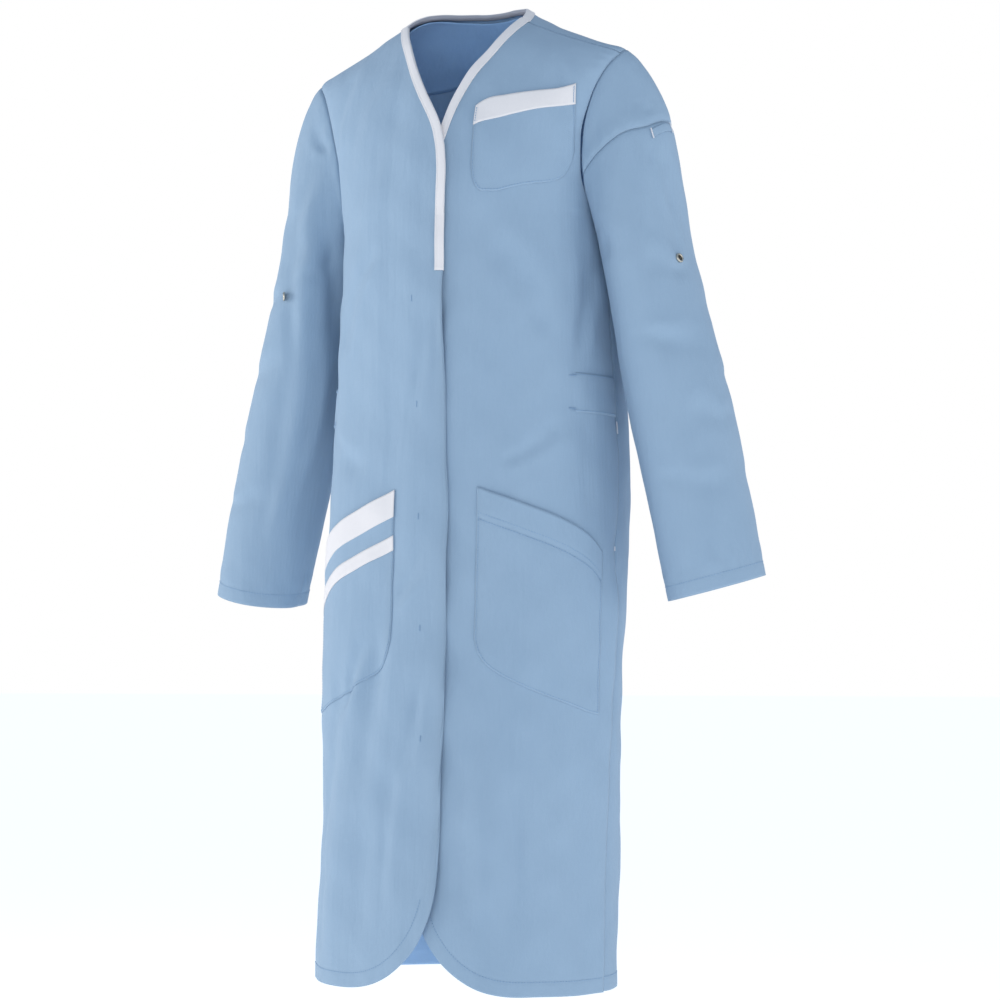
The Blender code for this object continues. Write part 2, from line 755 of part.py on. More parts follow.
def binding_grid():
    """The neck binding, folded over the neck edge and down the front that laps."""
    points, ways_in, ways_out = neck_path()
    along = np.gradient(points, axis=0)
    along = unit(along)
    ways_in = unit(ways_in - along * np.sum(ways_in * along, axis=1, keepdims=True))
    ways_out = ways_out - along * np.sum(ways_out * along, axis=1, keepdims=True)
    ways_out = unit(ways_out - ways_in * np.sum(ways_out * ways_in, axis=1, keepdims=True))
    profile = (
        (BINDING_WIDTH, 0.0017),
        (BINDING_WIDTH * 0.45, 0.0018),
        (-0.0004, 0.0016),
        (-0.0017, -0.0006),
        (-0.0004, -0.0032),
        (BINDING_WIDTH * 0.9, -0.0032),
    )
    at_back = ((points[:, 1] > 0) & (points[:, 2] > 0))[:, None]
    drop = np.where(at_back, -BACK_BINDING_DROP, 0.0)
    return np.array([
        points + ways_in * a + ways_out * (b + drop * (b < -0.002)) for a, b in profile
    ])


# ---------------------------------------------------------------- solids

def paint(name, colour, roughness=0.85, metallic=0.0):
    """A plain material."""
    material = bpy.data.materials.new(name)
    material.use_nodes = True
    shader = material.node_tree.nodes["Principled BSDF"]
    shader.inputs["Base Color"].default_value = (*colour, 1.0)
    shader.inputs["Roughness"].default_value = roughness
    shader.inputs["Metallic"].default_value = metallic
    return material


def cloth(name, grid, colour, wall=WALL, ring=False, flip=False):
    """A grid of outer-face points made into cloth with its thickness on the inside."""
    rows, columns = grid.shape[:2]
    last = columns if ring else columns - 1
    faces = []
    for i in range(rows - 1):
        for j in range(last):
            k = (j + 1) % columns
            face = [i * columns + j, i * columns + k, (i + 1) * columns + k, (i + 1) * columns + j]
            faces.append(face[::-1] if flip else face)
    mesh = bpy.data.meshes.new(name)
    mesh.from_pydata([tuple(point) for point in leaned(grid.reshape(-1, 3))], [], faces)
    mesh.update()
    item = bpy.data.objects.new(name, mesh)
    item.data.materials.append(paint(name + "_cloth", colour))
    thicken = item.modifiers.new("wall", "SOLIDIFY")
    thicken.thickness = wall
    thicken.offset = -1.0
    thicken.use_even_offset = True
    thicken.use_quality_normals = True
    return item


def snap(name, point, outward, colour):
    """A press snap: a low domed cap with a dimple, standing on the sleeve."""
    profile = (
        (0.0, 0.0), (0.92, 0.0), (1.0, 0.30), (0.94, 0.80), (0.78, 1.0),
        (0.60, 0.96), (0.50, 0.62), (0.0, 0.55),
    )
    count = 24
    vertices, faces = [(0.0, 0.0, 0.0)], []
    for radius, height in profile[1:-1]:
        for i in range(count):
            angle = 2 * math.pi * i / count
            vertices.append((
                radius * SNAP_RADIUS * math.cos(angle),
                radius * SNAP_RADIUS * math.sin(angle),
                height * SNAP_HEIGHT,
            ))
    vertices.append((0.0, 0.0, profile[-1][1] * SNAP_HEIGHT))
    rings = len(profile) - 2
    for i in range(count):
        j = (i + 1) % count
        faces.append((0, 1 + j, 1 + i))
        for ring in range(rings - 1):
            low, high = 1 + ring * count, 1 + (ring + 1) * count
            faces.append((low + i, low + j, high + j, high + i))
        top = 1 + (rings - 1) * count
        faces.append((top + i, top + j, len(vertices) - 1))
    mesh = bpy.data.meshes.new(name)
    mesh.from_pydata(vertices, [], faces)
    item = bpy.data.objects.new(name, mesh)
    item.data.materials.append(paint(name + "_metal", colour, 0.35, 1.0))
    item.location = point
    item.rotation_mode = "QUATERNION"
    item.rotation_quaternion = outward.to_track_quat("Z", "Y")
    return item


def sleeve_snap(label, side, turn, travel):
    """A snap set on one sleeve."""
    foot = sleeve_raised(np.array(turn), np.array(travel), SNAP_STAND) * [side, 1, 1]
    head = sleeve_raised(np.array(turn), np.array(travel), SNAP_STAND + 0.01) * [side, 1, 1]
    return snap("snap_" + label, tuple(foot), Vector(head - foot), SNAP_METAL)


def build():
    """Make every piece of the coat in a collection of its own."""
    for item in list(bpy.data.objects):
        bpy.data.objects.remove(item, do_unlink=True)
    collection = bpy.data.collections.new(COAT)
    bpy.context.scene.collection.children.link(collection)
    flip = np.array([-1.0, 1.0, 1.0])
    on_cloth = LAYER_GAP + PATCH_WALL + 0.0003
    on_patch = on_cloth + PATCH_WALL + 0.0005
    patch = {"wall": PATCH_WALL}
    turned = {"wall": PATCH_WALL, "flip": True}
    pieces = [
        cloth("front_right", front_grid(-1), BLUE, flip=True),
        cloth("front_left", front_grid(1), BLUE),
        cloth("back", back_grid(), BLUE, flip=True),
        cloth("sleeve_right", whole_sleeve() * flip, BLUE, ring=True),
        cloth("sleeve_left_lower", lower_sleeve(), BLUE, ring=True, flip=True),
        cloth("sleeve_left_upper", upper_sleeve(), BLUE, flip=True),
        cloth("neck_binding", binding_grid(), WHITE, 0.0007),
        cloth("back_neck_facing", facing_grid(), BLUE, PATCH_WALL, flip=True),
        cloth("chest_pocket", chest_pocket_grid("bottom", "top", 7, on_cloth), BLUE, **patch),
        cloth("chest_pocket_band", chest_pocket_grid("band", "top", 2, on_patch), WHITE, **patch),
        cloth("hip_pocket_left", hip_pocket_grid(1, None, 8, on_cloth), BLUE, **patch),
        cloth("hip_pocket_right", hip_pocket_grid(-1, None, 8, on_cloth), BLUE, **turned),
        cloth("hip_band_wide", hip_pocket_grid(-1, WIDE_BAND, 2, on_patch), WHITE, **turned),
        cloth("hip_band_narrow", hip_pocket_grid(-1, NARROW_BAND, 1, on_patch), WHITE, **turned),
        cloth("waist_tab_left", tab_grid(1, on_cloth), BLUE, **patch),
        cloth("waist_tab_right", tab_grid(-1, on_cloth), BLUE, **turned),
        cloth("pen_pocket_welt", welt_grid(on_cloth), BLUE, **turned),
    ]
    pieces += [sleeve_snap(*row) for row in SNAPS]
    for piece in pieces:
        collection.objects.link(piece)


build()
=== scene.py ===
"""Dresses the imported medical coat: creased cloth, sewn hems, stitching, trims and snaps.

Every piece is a thin shell on the form of its solid. Metres, +Z up, the front faces -Y and the
wearer's left is +X, as in the model. Below the underarm the body is a tube of level sections,
and above it an arch over the shoulder that is read by its turn: 0 at the front underarm, 90 on
the ridge, 180 at the back. Creases are soft troughs laid in space, so that they run on over the
seams from one piece of cloth to the next.
"""

import logging
import math
from collections.abc import Callable, Iterable, Sequence
from dataclasses import dataclass, field
from enum import Enum
from functools import cached_property

import bpy
import numpy as np
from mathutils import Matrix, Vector


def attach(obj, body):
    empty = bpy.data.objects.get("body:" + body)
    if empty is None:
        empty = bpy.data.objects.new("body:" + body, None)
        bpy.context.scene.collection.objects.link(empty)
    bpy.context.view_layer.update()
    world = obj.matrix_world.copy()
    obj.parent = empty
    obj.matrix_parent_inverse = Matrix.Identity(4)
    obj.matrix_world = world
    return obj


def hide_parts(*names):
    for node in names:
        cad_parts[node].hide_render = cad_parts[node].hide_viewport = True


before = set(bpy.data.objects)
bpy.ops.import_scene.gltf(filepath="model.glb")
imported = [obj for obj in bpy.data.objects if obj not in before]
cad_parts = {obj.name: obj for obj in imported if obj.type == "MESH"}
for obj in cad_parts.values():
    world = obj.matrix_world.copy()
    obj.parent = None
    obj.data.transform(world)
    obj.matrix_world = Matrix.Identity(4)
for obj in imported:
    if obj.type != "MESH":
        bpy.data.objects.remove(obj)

Array = np.ndarray
log = logging.getLogger("coat")

# ---- sizes of the coat, metres

WALL = 0.0010
PATCH_WALL = 0.0008
HEM = -1.056
UNDERARM = -0.228
LAP = 0.0175
LAP_LIFT = 0.0056
LAP_LIFT_LOW = 0.0036
HEM_CORNER_RISE = 0.134
HEM_CORNER_RUN = 0.132
NECK_HALF = 0.072
YOKE_HALF = 0.215
BINDING_WIDTH = 0.0090
BINDING_END = -0.290
SEAM_TURN = 74.0
BACK_NECK_TURN = 109.0
BACK_NECK_CORNER = 0.70
LEAN_FOOT = -0.160
LEAN_RISE = 0.110
FRONT_ARCH = 1.95
BACK_ARCH = 2.25
PATCH_LIFT = 0.0010
OPENING_TOP = -0.454
VENT_TOP = -0.584
HEM_TURNED = 0.0155
CUFF_TURNED = 0.0150


@dataclass(frozen=True)
class Table:
    """Sizes in named columns, read through a smooth curve by the first of them."""

    columns: tuple[str, ...]
    rows: tuple[tuple[float, ...], ...]

    def column(self, name: str) -> Array:
        """One named column."""
        return np.array([row[self.columns.index(name)] for row in self.rows], float)

    def read(self, name: str, at: Array) -> Array:
        """Monotone cubic through a column.

        Args:
            name: The column that is read.
            at: Values of the first column.

        Returns:
            The column's value at each of them.
        """
        known, values = self.column(self.columns[0]), self.column(name)
        at = np.clip(np.asarray(at, float), known[0], known[-1])
        step = np.diff(known)
        slope = np.diff(values) / step
        tangent = np.zeros(len(known))
        tangent[0], tangent[-1] = slope[0], slope[-1]
        same = slope[:-1] * slope[1:] > 0
        mean = 2 * slope[:-1] * slope[1:] / np.where(same, slope[:-1] + slope[1:], 1.0)
        tangent[1:-1] = np.where(same, mean, 0.0)
        i = np.clip(np.searchsorted(known, at, side="right") - 1, 0, len(step) - 1)
        t = (at - known[i]) / step[i]
        return (
            values[i] * (1 + 2 * t) * (1 - t) ** 2
            + tangent[i] * step[i] * t * (1 - t) ** 2
            + values[i + 1] * t**2 * (3 - 2 * t)
            + tangent[i + 1] * step[i] * t**2 * (t - 1)
        )


SECTIONS = Table(
    ("height", "half_width", "centre", "front", "back", "squareness"),
    (
        (-1.075, 0.1735, -0.022, 0.124, 0.124, 2.20),
        (-0.860, 0.1745, -0.012, 0.124, 0.125, 2.20), (-0.640, 0.1730, 0.003, 0.125, 0.125, 2.22),
        (-0.500, 0.1710, 0.011, 0.125, 0.119, 2.25), (-0.430, 0.1685, 0.014, 0.125, 0.115, 2.25),
        (-0.310, 0.1580, 0.014, 0.126, 0.111, 2.30), (-0.228, 0.1525, 0.013, 0.122, 0.109, 2.30),
    ),
)
SIDE_SEAM = Table(
    ("height", "angle"),
    ((-1.075, 84.0), (-0.780, 84.5), (-0.620, 86.5), (-0.500, 89.5), (-0.228, 90.0)),
)
SWING = Table(
    ("height", "swing"),
    (
        (-1.075, 0.0155), (-0.830, 0.0156), (-0.700, 0.0138), (-0.600, 0.0138), (-0.530, 0.0102),
        (-0.450, 0.0082), (-0.350, 0.0045), (-0.270, 0.0054), (-0.228, 0.0050),
    ),
)
RIDGE = Table(
    ("x", "y", "height"),
    (
        (-0.020, 0.0170, 0.0392), (0.000, 0.0180, 0.0421), (0.020, 0.0170, 0.0392),
        (0.045, 0.0130, 0.0290), (0.063, 0.0095, 0.0194), (0.072, 0.0080, 0.0140),
        (0.120, 0.0000, -0.0125), (0.165, -0.0060, -0.0320), (0.192, -0.0080, -0.0445),
        (0.230, -0.0080, -0.0660),
    ),
)
LEAN = Table(
    ("x", "drop"),
    (
        (-0.020, 0.0), (0.000, 0.0005), (0.020, 0.0015), (0.035, 0.0035), (0.050, 0.0065),
        (0.065, 0.0080), (0.080, 0.0100), (0.095, 0.0085), (0.120, 0.0062), (0.165, 0.0075),
        (0.230, 0.0080),
    ),
)
EDGE_PLAY = Table(
    ("height", "lift"),
    (
        (-1.060, 0.3), (-0.950, 1.0), (-0.885, -0.6), (-0.820, 1.0), (-0.770, -0.6),
        (-0.720, 0.9), (-0.668, -0.6), (-0.612, 1.0), (-0.540, -0.3), (-0.450, -0.5),
        (-0.385, 0.0), (-0.330, 1.1), (-0.280, 0.0),
    ),
)
ARMHOLE = Table(
    ("turn", "x"),
    (
        (0.0, 0.1525), (4.0, 0.1505), (12.0, 0.1480), (24.0, 0.1510), (40.0, 0.1610),
        (60.0, 0.1770), (74.0, 0.1870), (90.0, 0.1910), (112.0, 0.1800), (130.0, 0.1690),
        (150.0, 0.1600), (168.0, 0.1520), (176.0, 0.1515), (180.0, 0.1525),
    ),
)
NECKLINE = Table(
    ("turn", "left", "right"),
    (
        (0.0, -0.0125, -0.0225), (9.0, -0.0090, -0.0235), (15.0, 0.0045, -0.0214),
        (19.0, 0.0115, -0.0175), (22.0, 0.0155, -0.0130), (31.0, 0.0275, 0.0092),
        (41.0, 0.0420, 0.0304), (50.0, 0.0555, 0.0450), (62.0, 0.0665, 0.0606),
        (74.0, 0.0720, 0.0720),
    ),
)
SLEEVE_RINGS = Table(
    ("along", "half_width", "half_depth"),
    (
        (0.00, 0.0435, 0.0640), (0.18, 0.0480, 0.0620), (0.50, 0.0540, 0.0580),
        (0.80, 0.0540, 0.0560), (1.00, 0.0530, 0.0540),
    ),
)
CROSS_SEAM = Table(
    ("turn", "travel"),
    (
        (13.0, 0.030), (26.0, 0.195), (40.0, 0.295), (63.0, 0.400), (90.0, 0.415), (117.0, 0.400),
        (140.0, 0.295), (155.0, 0.195), (167.0, 0.030),
    ),
)
HIP_POCKET = Table(
    ("across", "top", "bottom"),
    (
        (0.000, -0.5210, -0.6820), (0.004, -0.5225, -0.6950), (0.013, -0.5260, -0.7080),
        (0.030, -0.5320, -0.7200), (0.055, -0.5410, -0.7320), (0.080, -0.5500, -0.7420),
        (0.105, -0.5610, -0.7510), (0.128, -0.5750, -0.7590), (0.142, -0.5880, -0.7620),
    ),
)
CHEST_POCKET = Table(
    ("x", "bottom", "band", "top"),
    (
        (0.0505, 11.1, 22.2, 28.2), (0.0540, 7.2, 22.8, 29.3), (0.0620, 5.2, 23.8, 30.9),
        (0.0750, 5.2, 25.5, 33.1), (0.0920, 6.3, 27.8, 35.2), (0.1090, 7.5, 30.2, 37.3),
        (0.1250, 8.6, 32.6, 39.9), (0.1350, 10.4, 34.3, 42.2), (0.1410, 13.9, 35.2, 43.6),
        (0.1440, 18.9, 35.7, 44.5),
    ),
)

# The largest folds, which the solids have too: round and height at both ends, width, depth.
FOLDS = (
    (-0.085, -0.690, -0.150, -0.800, 0.014, 0.0030),
    (-0.055, -0.640, -0.085, -0.860, 0.020, 0.0035),
    (-0.105, -0.820, -0.115, -1.075, 0.022, -0.0040),
    (-0.060, -0.860, -0.070, -1.020, 0.016, 0.0035),
    (0.075, -0.780, 0.085, -1.075, 0.026, -0.0040), (0.125, -0.760, 0.140, -1.075, 0.022, 0.0040),
    (-0.170, -0.760, -0.180, -1.075, 0.022, 0.0040),
    (0.330, -0.560, 0.320, -1.075, 0.030, 0.0050),
    (-0.330, -0.600, -0.345, -1.075, 0.028, 0.0050),
    (0.420, -0.620, 0.430, -1.075, 0.030, -0.0045),
    (-0.410, -0.560, -0.420, -1.075, 0.032, -0.0045),
)

ARM_TOP = (0.1985, 0.012, -0.240)
ARM_END = (0.2860, 0.009, -0.628)
CUFF_TILT = 9.0
CAP_SHARE = 0.12
SLEEVE_KNOTS = (
    0, 4, 8, 13, 19, 26, 33, 41, 49, 57, 66, 74,
    79, 84, 94, 105, 116, 127, 138, 149, 159, 167, 173, 177,
)
HIP_POCKET_IN = 0.0490
HIP_POCKET_WIDTH = 0.142
BAND_LIFT = 0.0009
TAB_FRONT = 0.160
TAB_TOP = -0.398
TAB_BOTTOM = -0.441
WELT_TURNS = (62.0, 92.0)
WELT_TRAVEL = (0.424, 0.462)
FACING_HALF = 0.155
FACING_LOW_TURN = 133.0
FACING_GAP = 0.0050
SNAP_RADIUS = 0.0052
SNAP_HEIGHT = 0.0022
SNAP_STAND = 0.0006
BEHIND_NECK = slice(74, 168)  # points of the neck edge from one neck point to the other
BINDING_TURN = 10  # the first row of the binding that lies inside the coat
CROSS_TURNS = (13.0, 167.0)
CUFF_START = 1.88
POCKET_PUFF = 0.0004
MOUTH_PUFF = 0.0009
SHORT_STEP = 5e-4
TURN_STEP = 0.05
SHARES = 600
CREASE_STEPS = 14
SNAP_SIDES = 40
BAR_PITCH = 0.00055
STITCH_PITCH = 0.0032
STITCH_LENGTH = 0.0025
STITCH_RADIUS = 0.00042
THREAD_SIDES = 5
# Share of a thread's length, rise off the cloth and width there, both in its radius.
THREAD_STATIONS = (
    (0.0, -0.5, 0.35), (0.18, 0.35, 0.9), (0.5, 0.75, 1.0), (0.82, 0.35, 0.9), (1.0, -0.5, 0.35),
)
SNAP_RING = (
    (0.90, 0.00), (0.97, 0.08), (1.00, 0.30), (0.99, 0.55), (0.95, 0.78), (0.87, 0.95),
    (0.76, 1.00), (0.66, 0.95), (0.59, 0.80), (0.56, 0.55), (0.55, 0.30),
)
SNAP_SOCKET = (
    (0.57, 0.34), (0.50, 0.36), (0.34, 0.36), (0.30, 0.46), (0.24, 0.62), (0.14, 0.70),
    (0.0, 0.72),
)

# Metres of cloth to a degree of turn or to a step of travel, about.
TURN_RUN = 0.0022
CHEST_RUN = 0.0032
SHOULDER_RUN = 0.0041
HEAD_RUN = 0.17
ARM_RUN = 0.349

LAMP_COLOUR = (1.0, 0.955, 0.885)


def ease(t: Array) -> Array:
    """0 to 1 with level ends."""
    t = np.clip(t, 0.0, 1.0)
    return t * t * (3 - 2 * t)


def unit(vectors: Array) -> Array:
    """The vectors at length one."""
    return vectors / np.maximum(np.linalg.norm(vectors, axis=-1, keepdims=True), 1e-12)


def leaned(points: Array) -> Array:
    """The points with the shoulder line sunk on the wearer's left, as in the model."""
    share = ease((points[..., 2] - LEAN_FOOT) / LEAN_RISE)
    down = np.array([0.0, 0.0, -1.0])
    return points + down * (LEAN.read("drop", points[..., 0]) * share)[..., None]


def bump(distance: Array, width: float) -> Array:
    """1 at no distance, falling softly to 0 beyond a width."""
    return np.exp(-((distance / width) ** 2))


def paired(first: Array, second: Array) -> Sequence[Array]:
    """Two measures as numbers of one shape."""
    return np.broadcast_arrays(np.asarray(first, float), np.asarray(second, float))


def run_along(points: Array) -> Array:
    """Distance along a line of points, from its first one."""
    legs = np.linalg.norm(np.diff(points, axis=0), axis=1)
    return np.concatenate([[0.0], np.cumsum(legs)])


def sampled(values: Array, run: Array, at: Array) -> Array:
    """Values along a line, read at distances along it."""
    return np.stack([np.interp(at, run, column) for column in values.T], axis=1)


def strip_faces(rings: int, count: int) -> list[tuple[int, ...]]:
    """The faces between rings of points that follow each other along a tube."""
    faces: list[tuple[int, ...]] = []
    for ring in range(rings - 1):
        for k in range(count):
            a, b = ring * count + k, ring * count + (k + 1) % count
            faces.append((a, b, b + count, a + count))
    return faces


def surface(
    form: Callable[[Array, Array], Array], u: Array, v: Array, step: float
) -> tuple[Array, Array]:
    """A form's points, and the way out of it at each, from two short steps along it."""
    here = form(u, v)
    return here, unit(np.cross(form(u + SHORT_STEP, v) - here, form(u, v + step) - here))


def gape(level: Array) -> Array:
    """How far the upper part of the vent stands open."""
    return bump(level + 0.670, 0.075)


def open_side(level: Array) -> tuple[Array, Array]:
    """How far the side is open at each height.

    Args:
        level: Heights.

    Returns:
        How open the vent below is, and the slit above it through which a hand reaches in.
    """
    vent = ease((VENT_TOP - 0.004 - level) / 0.050)
    slit = ease((OPENING_TOP - level) / 0.03) * ease((level - VENT_TOP - 0.004) / 0.03)
    return vent, slit


def side_seam(level: Array, seam: Array) -> Array:
    """How the side seam draws the cloth in and plumps it beside it, where it is sewn."""
    puckers = np.sin(level * 2 * math.pi / 0.026 + 2 * np.sin(level * 17))
    drawn = 0.0007 * bump(seam - 0.008, 0.006) * (0.6 + 0.4 * puckers)
    return (drawn - 0.0013 * bump(seam, 0.0028)) * (1 - np.maximum(*open_side(level)))


def hem_fold(rise: Array, pucker: Array) -> Array:
    """How a turned hem stands up, and how its row of sewing draws it in."""
    thick = 0.0003 * (1 - ease((rise - HEM_TURNED + 0.001) / 0.003))
    return thick - 0.0004 * bump(rise - HEM_TURNED, 0.0018) * (0.55 + 0.45 * pucker)


def hem_pucker(at: Array) -> Array:
    """How strongly a hem puckers along its length, 0 to 1."""
    return 0.5 + 0.5 * np.sin(at * 2 * math.pi / 0.021 + 3 * np.sin(at * 23))


# ---- creases

@dataclass(frozen=True)
class Crease:
    """A soft uneven trough in the cloth, along a bent line between two points.

    Attributes:
        path: Points that the crease passes near, in metres.
        width: Half its width.
        depth: How deep it goes; a minus depth is a ridge.
        shoulder: Share of the depth that stands up as a ridge along its upper side.
        phase: Makes each crease uneven in its own way.
    """

    path: tuple[tuple[float, float, float], ...]
    width: float
    depth: float
    shoulder: float = 0.5
    phase: float = 0.0

    def line(self) -> Array:
        """The crease's line as points on a smooth curve."""
        known = np.array(self.path, float)
        if len(known) == 2:
            known = np.array([known[0], known.mean(axis=0), known[1]])
        at = run_along(known)
        rough = sampled(known, at, np.linspace(0, at[-1], CREASE_STEPS))
        for _ in range(3):
            rough[1:-1] = (rough[:-2] + 2 * rough[1:-1] + rough[2:]) / 4
        return rough

    def relief(self, points: Array, normals: Array) -> Array:
        """How far the crease moves each point along its normal.

        Args:
            points: Points of the cloth, one a row.
            normals: The way out of the cloth at each.

        Returns:
            The move at each point, minus into the coat.
        """
        line = self.line()
        reach = 3.2 * self.width
        low, high = line.min(axis=0) - reach, line.max(axis=0) + reach
        near = np.all((points > low) & (points < high), axis=1)
        move = np.zeros(len(points))
        if not near.any():
            return move
        spots, ways = points[near], normals[near]
        start, leg = line[:-1], np.diff(line, axis=0)
        offset = spots[:, None, :] - start[None]
        share = np.clip(
            np.sum(offset * leg[None], axis=2) / np.sum(leg**2, axis=1)[None], 0, 1
        )
        away = offset - share[..., None] * leg[None]
        distance = np.linalg.norm(away, axis=2)
        best = np.argmin(distance, axis=1)
        rows = np.arange(len(spots))
        along = (best + share[rows, best]) / len(leg)
        apart = distance[rows, best]
        side = np.sign(np.sum(np.cross(leg[best], away[rows, best]) * ways, axis=1))
        across = apart * side
        taper = ease(along / 0.32) * ease((1 - along) / 0.32)
        ends = (share[rows, best] <= 0) & (best == 0) | (share[rows, best] >= 1) & (
            best == len(leg) - 1
        )
        taper = np.where(ends, 0.0, taper)
        uneven = 1 + 0.28 * np.sin(7.0 * along + self.phase) + 0.14 * np.sin(17 * along - self.phase)
        width = self.width * (1 + 0.25 * np.sin(5 * along + 2 * self.phase))
        shape = -bump(apart, 1.0 * width) + self.shoulder * bump(across - 1.35 * width, 0.95 * width)
        move[near] = self.depth * taper * uneven * shape
        return move


@dataclass(frozen=True)
class Drape:
    """All the creases of one part of the coat, with the slight unevenness of worn cloth.

    Attributes:
        creases: The listed creases.
        restless: Depth of the small unevenness between them.
    """

    creases: tuple[Crease, ...]
    restless: float = 0.0013

    def relief(self, points: Array, normals: Array) -> Array:
        """How far the cloth stands off its smooth form at each point, minus into the coat."""
        shape = points.shape[:-1]
        flat, ways = points.reshape(-1, 3), normals.reshape(-1, 3)
        move = self.unevenness(flat)
        for crease in self.creases:
            move = move + crease.relief(flat, ways)
        return move.reshape(shape)

    def unevenness(self, points: Array) -> Array:
        """A slow wandering of the cloth, the same each time."""
        generator = np.random.default_rng(11)
        total = np.zeros(len(points))
        for wave in (0.19, 0.13, 0.085, 0.055, 0.036):
            for _ in range(3):
                way = unit(generator.normal(size=3) * np.array([1.0, 1.0, 0.55]))
                phase = generator.uniform(0, 2 * math.pi)
                total += wave / 0.19 * np.sin(points @ way * 2 * math.pi / wave + phase)
        for wave in (0.110, 0.062, 0.041):
            for _ in range(3):
                way = unit(generator.normal(size=3) * np.array([1.0, 1.0, 0.10]))
                phase = generator.uniform(0, 2 * math.pi)
                swell = 0.5 + 0.5 * np.sin(points[:, 2] * 2 * math.pi / 0.41 + phase)
                total += wave / 0.09 * swell * np.sin(points @ way * 2 * math.pi / wave + phase)
        return total * self.restless / 2


# ---- the bare form

@dataclass
class BodyForm:
    """The body of the coat before it creases: a tube below the underarm, an arch above it."""

    steps: int = 241
    levels: int = 700
    angles: Array = field(init=False)
    heights: Array = field(init=False)
    half: Array = field(init=False)
    turned: Array = field(init=False)
    seam: Array = field(init=False)

    def __post_init__(self) -> None:
        """Measures the tube at many heights."""
        self.angles = np.linspace(0, math.pi, self.steps)
        self.heights = np.linspace(-1.08, UNDERARM, self.levels)
        rings = self.tube(self.angles[None, :], self.heights[:, None])
        legs = np.linalg.norm(np.diff(rings, axis=1), axis=-1)
        rounds = np.concatenate([np.zeros((self.levels, 1)), np.cumsum(legs, axis=1)], axis=1)
        self.half = rounds[:, -1]
        shares = np.linspace(0, 1, SHARES + 1)
        self.turned = np.array([np.interp(shares * row[-1], row, self.angles) for row in rounds])
        seam = np.radians(SIDE_SEAM.read("angle", self.heights))
        self.seam = np.array([np.interp(a, self.angles, row) for a, row in zip(seam, rounds)])

    def tube(self, angle: Array, height: Array) -> Array:
        """The smooth tube at a section angle from the centre front, and a height."""
        power = 2 / SECTIONS.read("squareness", height)
        sine, cosine = np.sin(angle), np.cos(angle)
        x = SECTIONS.read("half_width", height) * np.sign(sine) * np.abs(sine) ** power
        depth = np.where(
            cosine >= 0, -SECTIONS.read("front", height), SECTIONS.read("back", height)
        )
        y = SECTIONS.read("centre", height) + depth * np.abs(cosine) ** power
        return np.stack(np.broadcast_arrays(x, y, height + 0 * x), axis=-1)

    def half_girth(self, height: Array) -> Array:
        """Half the distance round the tube."""
        return np.interp(height, self.heights, self.half)

    def side_distance(self, height: Array) -> Array:
        """How far round the tube the side seam lies from the centre front."""
        return np.interp(height, self.heights, self.seam)

    def angle_at(self, distance: Array, height: Array) -> Array:
        """The section angle at a distance round from the centre front."""
        share = np.clip(np.abs(distance) / self.half_girth(height), 0, 1) * SHARES
        row = np.clip((height - self.heights[0]) / (self.heights[1] - self.heights[0]), 0, None)
        row = np.minimum(row, self.levels - 1.000001)
        i, j = row.astype(int), np.minimum(share.astype(int), SHARES - 1)
        u, v = row - i, share - j
        value = (
            self.turned[i, j] * (1 - u) * (1 - v)
            + self.turned[i, j + 1] * (1 - u) * v
            + self.turned[i + 1, j] * u * (1 - v)
            + self.turned[i + 1, j + 1] * u * v
        )
        return np.sign(distance) * value

    @staticmethod
    def folds(distance: Array, height: Array) -> Array:
        """How far the largest folds push the cloth out of the smooth tube."""
        total = np.zeros(np.broadcast(distance, height).shape)
        for x0, z0, x1, z1, half_width, depth in FOLDS:
            run, rise = x1 - x0, z1 - z0
            along = ((distance - x0) * run + (height - z0) * rise) / (run**2 + rise**2)
            along = np.clip(along, 0, 1)
            away = np.hypot(distance - x0 - along * run, (height - z0 - along * rise) * 0.6)
            fade = ease(along / 0.35) if z1 <= HEM else ease(along / 0.3) * ease((1 - along) / 0.3)
            total -= depth * fade * bump(away, half_width)
        return total

    def low(self, distance: Array, height: Array) -> Array:
        """The tube with its folds, at a distance round and a height."""
        distance, height = paired(distance, height)
        angle = self.angle_at(distance, height)
        here = self.tube(angle, height)
        tangent = unit(self.tube(angle + 1e-3, height) - here)
        outward = np.stack([-tangent[..., 1], tangent[..., 0], 0 * tangent[..., 0]], axis=-1)
        middle = np.stack([0 * height, SECTIONS.read("centre", height), height], axis=-1)
        sense = np.sign(np.sum(outward * (here - middle), axis=-1, keepdims=True))
        relief = self.folds(distance, height) * ease((UNDERARM - height) / 0.1)
        return here + outward * sense * relief[..., None]

    def high(self, x: Array, turn: Array) -> Array:
        """The shoulder arch at a distance out from the centre and a turn in degrees."""
        x, turn = paired(x, turn)
        front = turn < 90
        start = SECTIONS.read("half_width", UNDERARM)
        half = start + (YOKE_HALF - start) * ease(1 - np.abs(turn - 90) / 90)
        power = SECTIONS.read("squareness", UNDERARM)
        bow = (1 - np.clip(np.abs(x) / half, 0, 1) ** power) ** (1 / power)
        depth = np.where(
            front, -SECTIONS.read("front", UNDERARM), SECTIONS.read("back", UNDERARM)
        )
        base = SECTIONS.read("centre", UNDERARM) + depth * bow
        arch = 2 / np.where(front, FRONT_ARCH, BACK_ARCH)
        reach = np.abs(np.cos(np.radians(turn))) ** arch
        rise = np.abs(np.sin(np.radians(turn))) ** arch
        ridge_y = RIDGE.read("y", np.abs(x))
        y = ridge_y + (base - ridge_y) * reach
        z = UNDERARM + (RIDGE.read("height", np.abs(x)) - UNDERARM) * rise
        return np.stack([x, y, z], axis=-1)


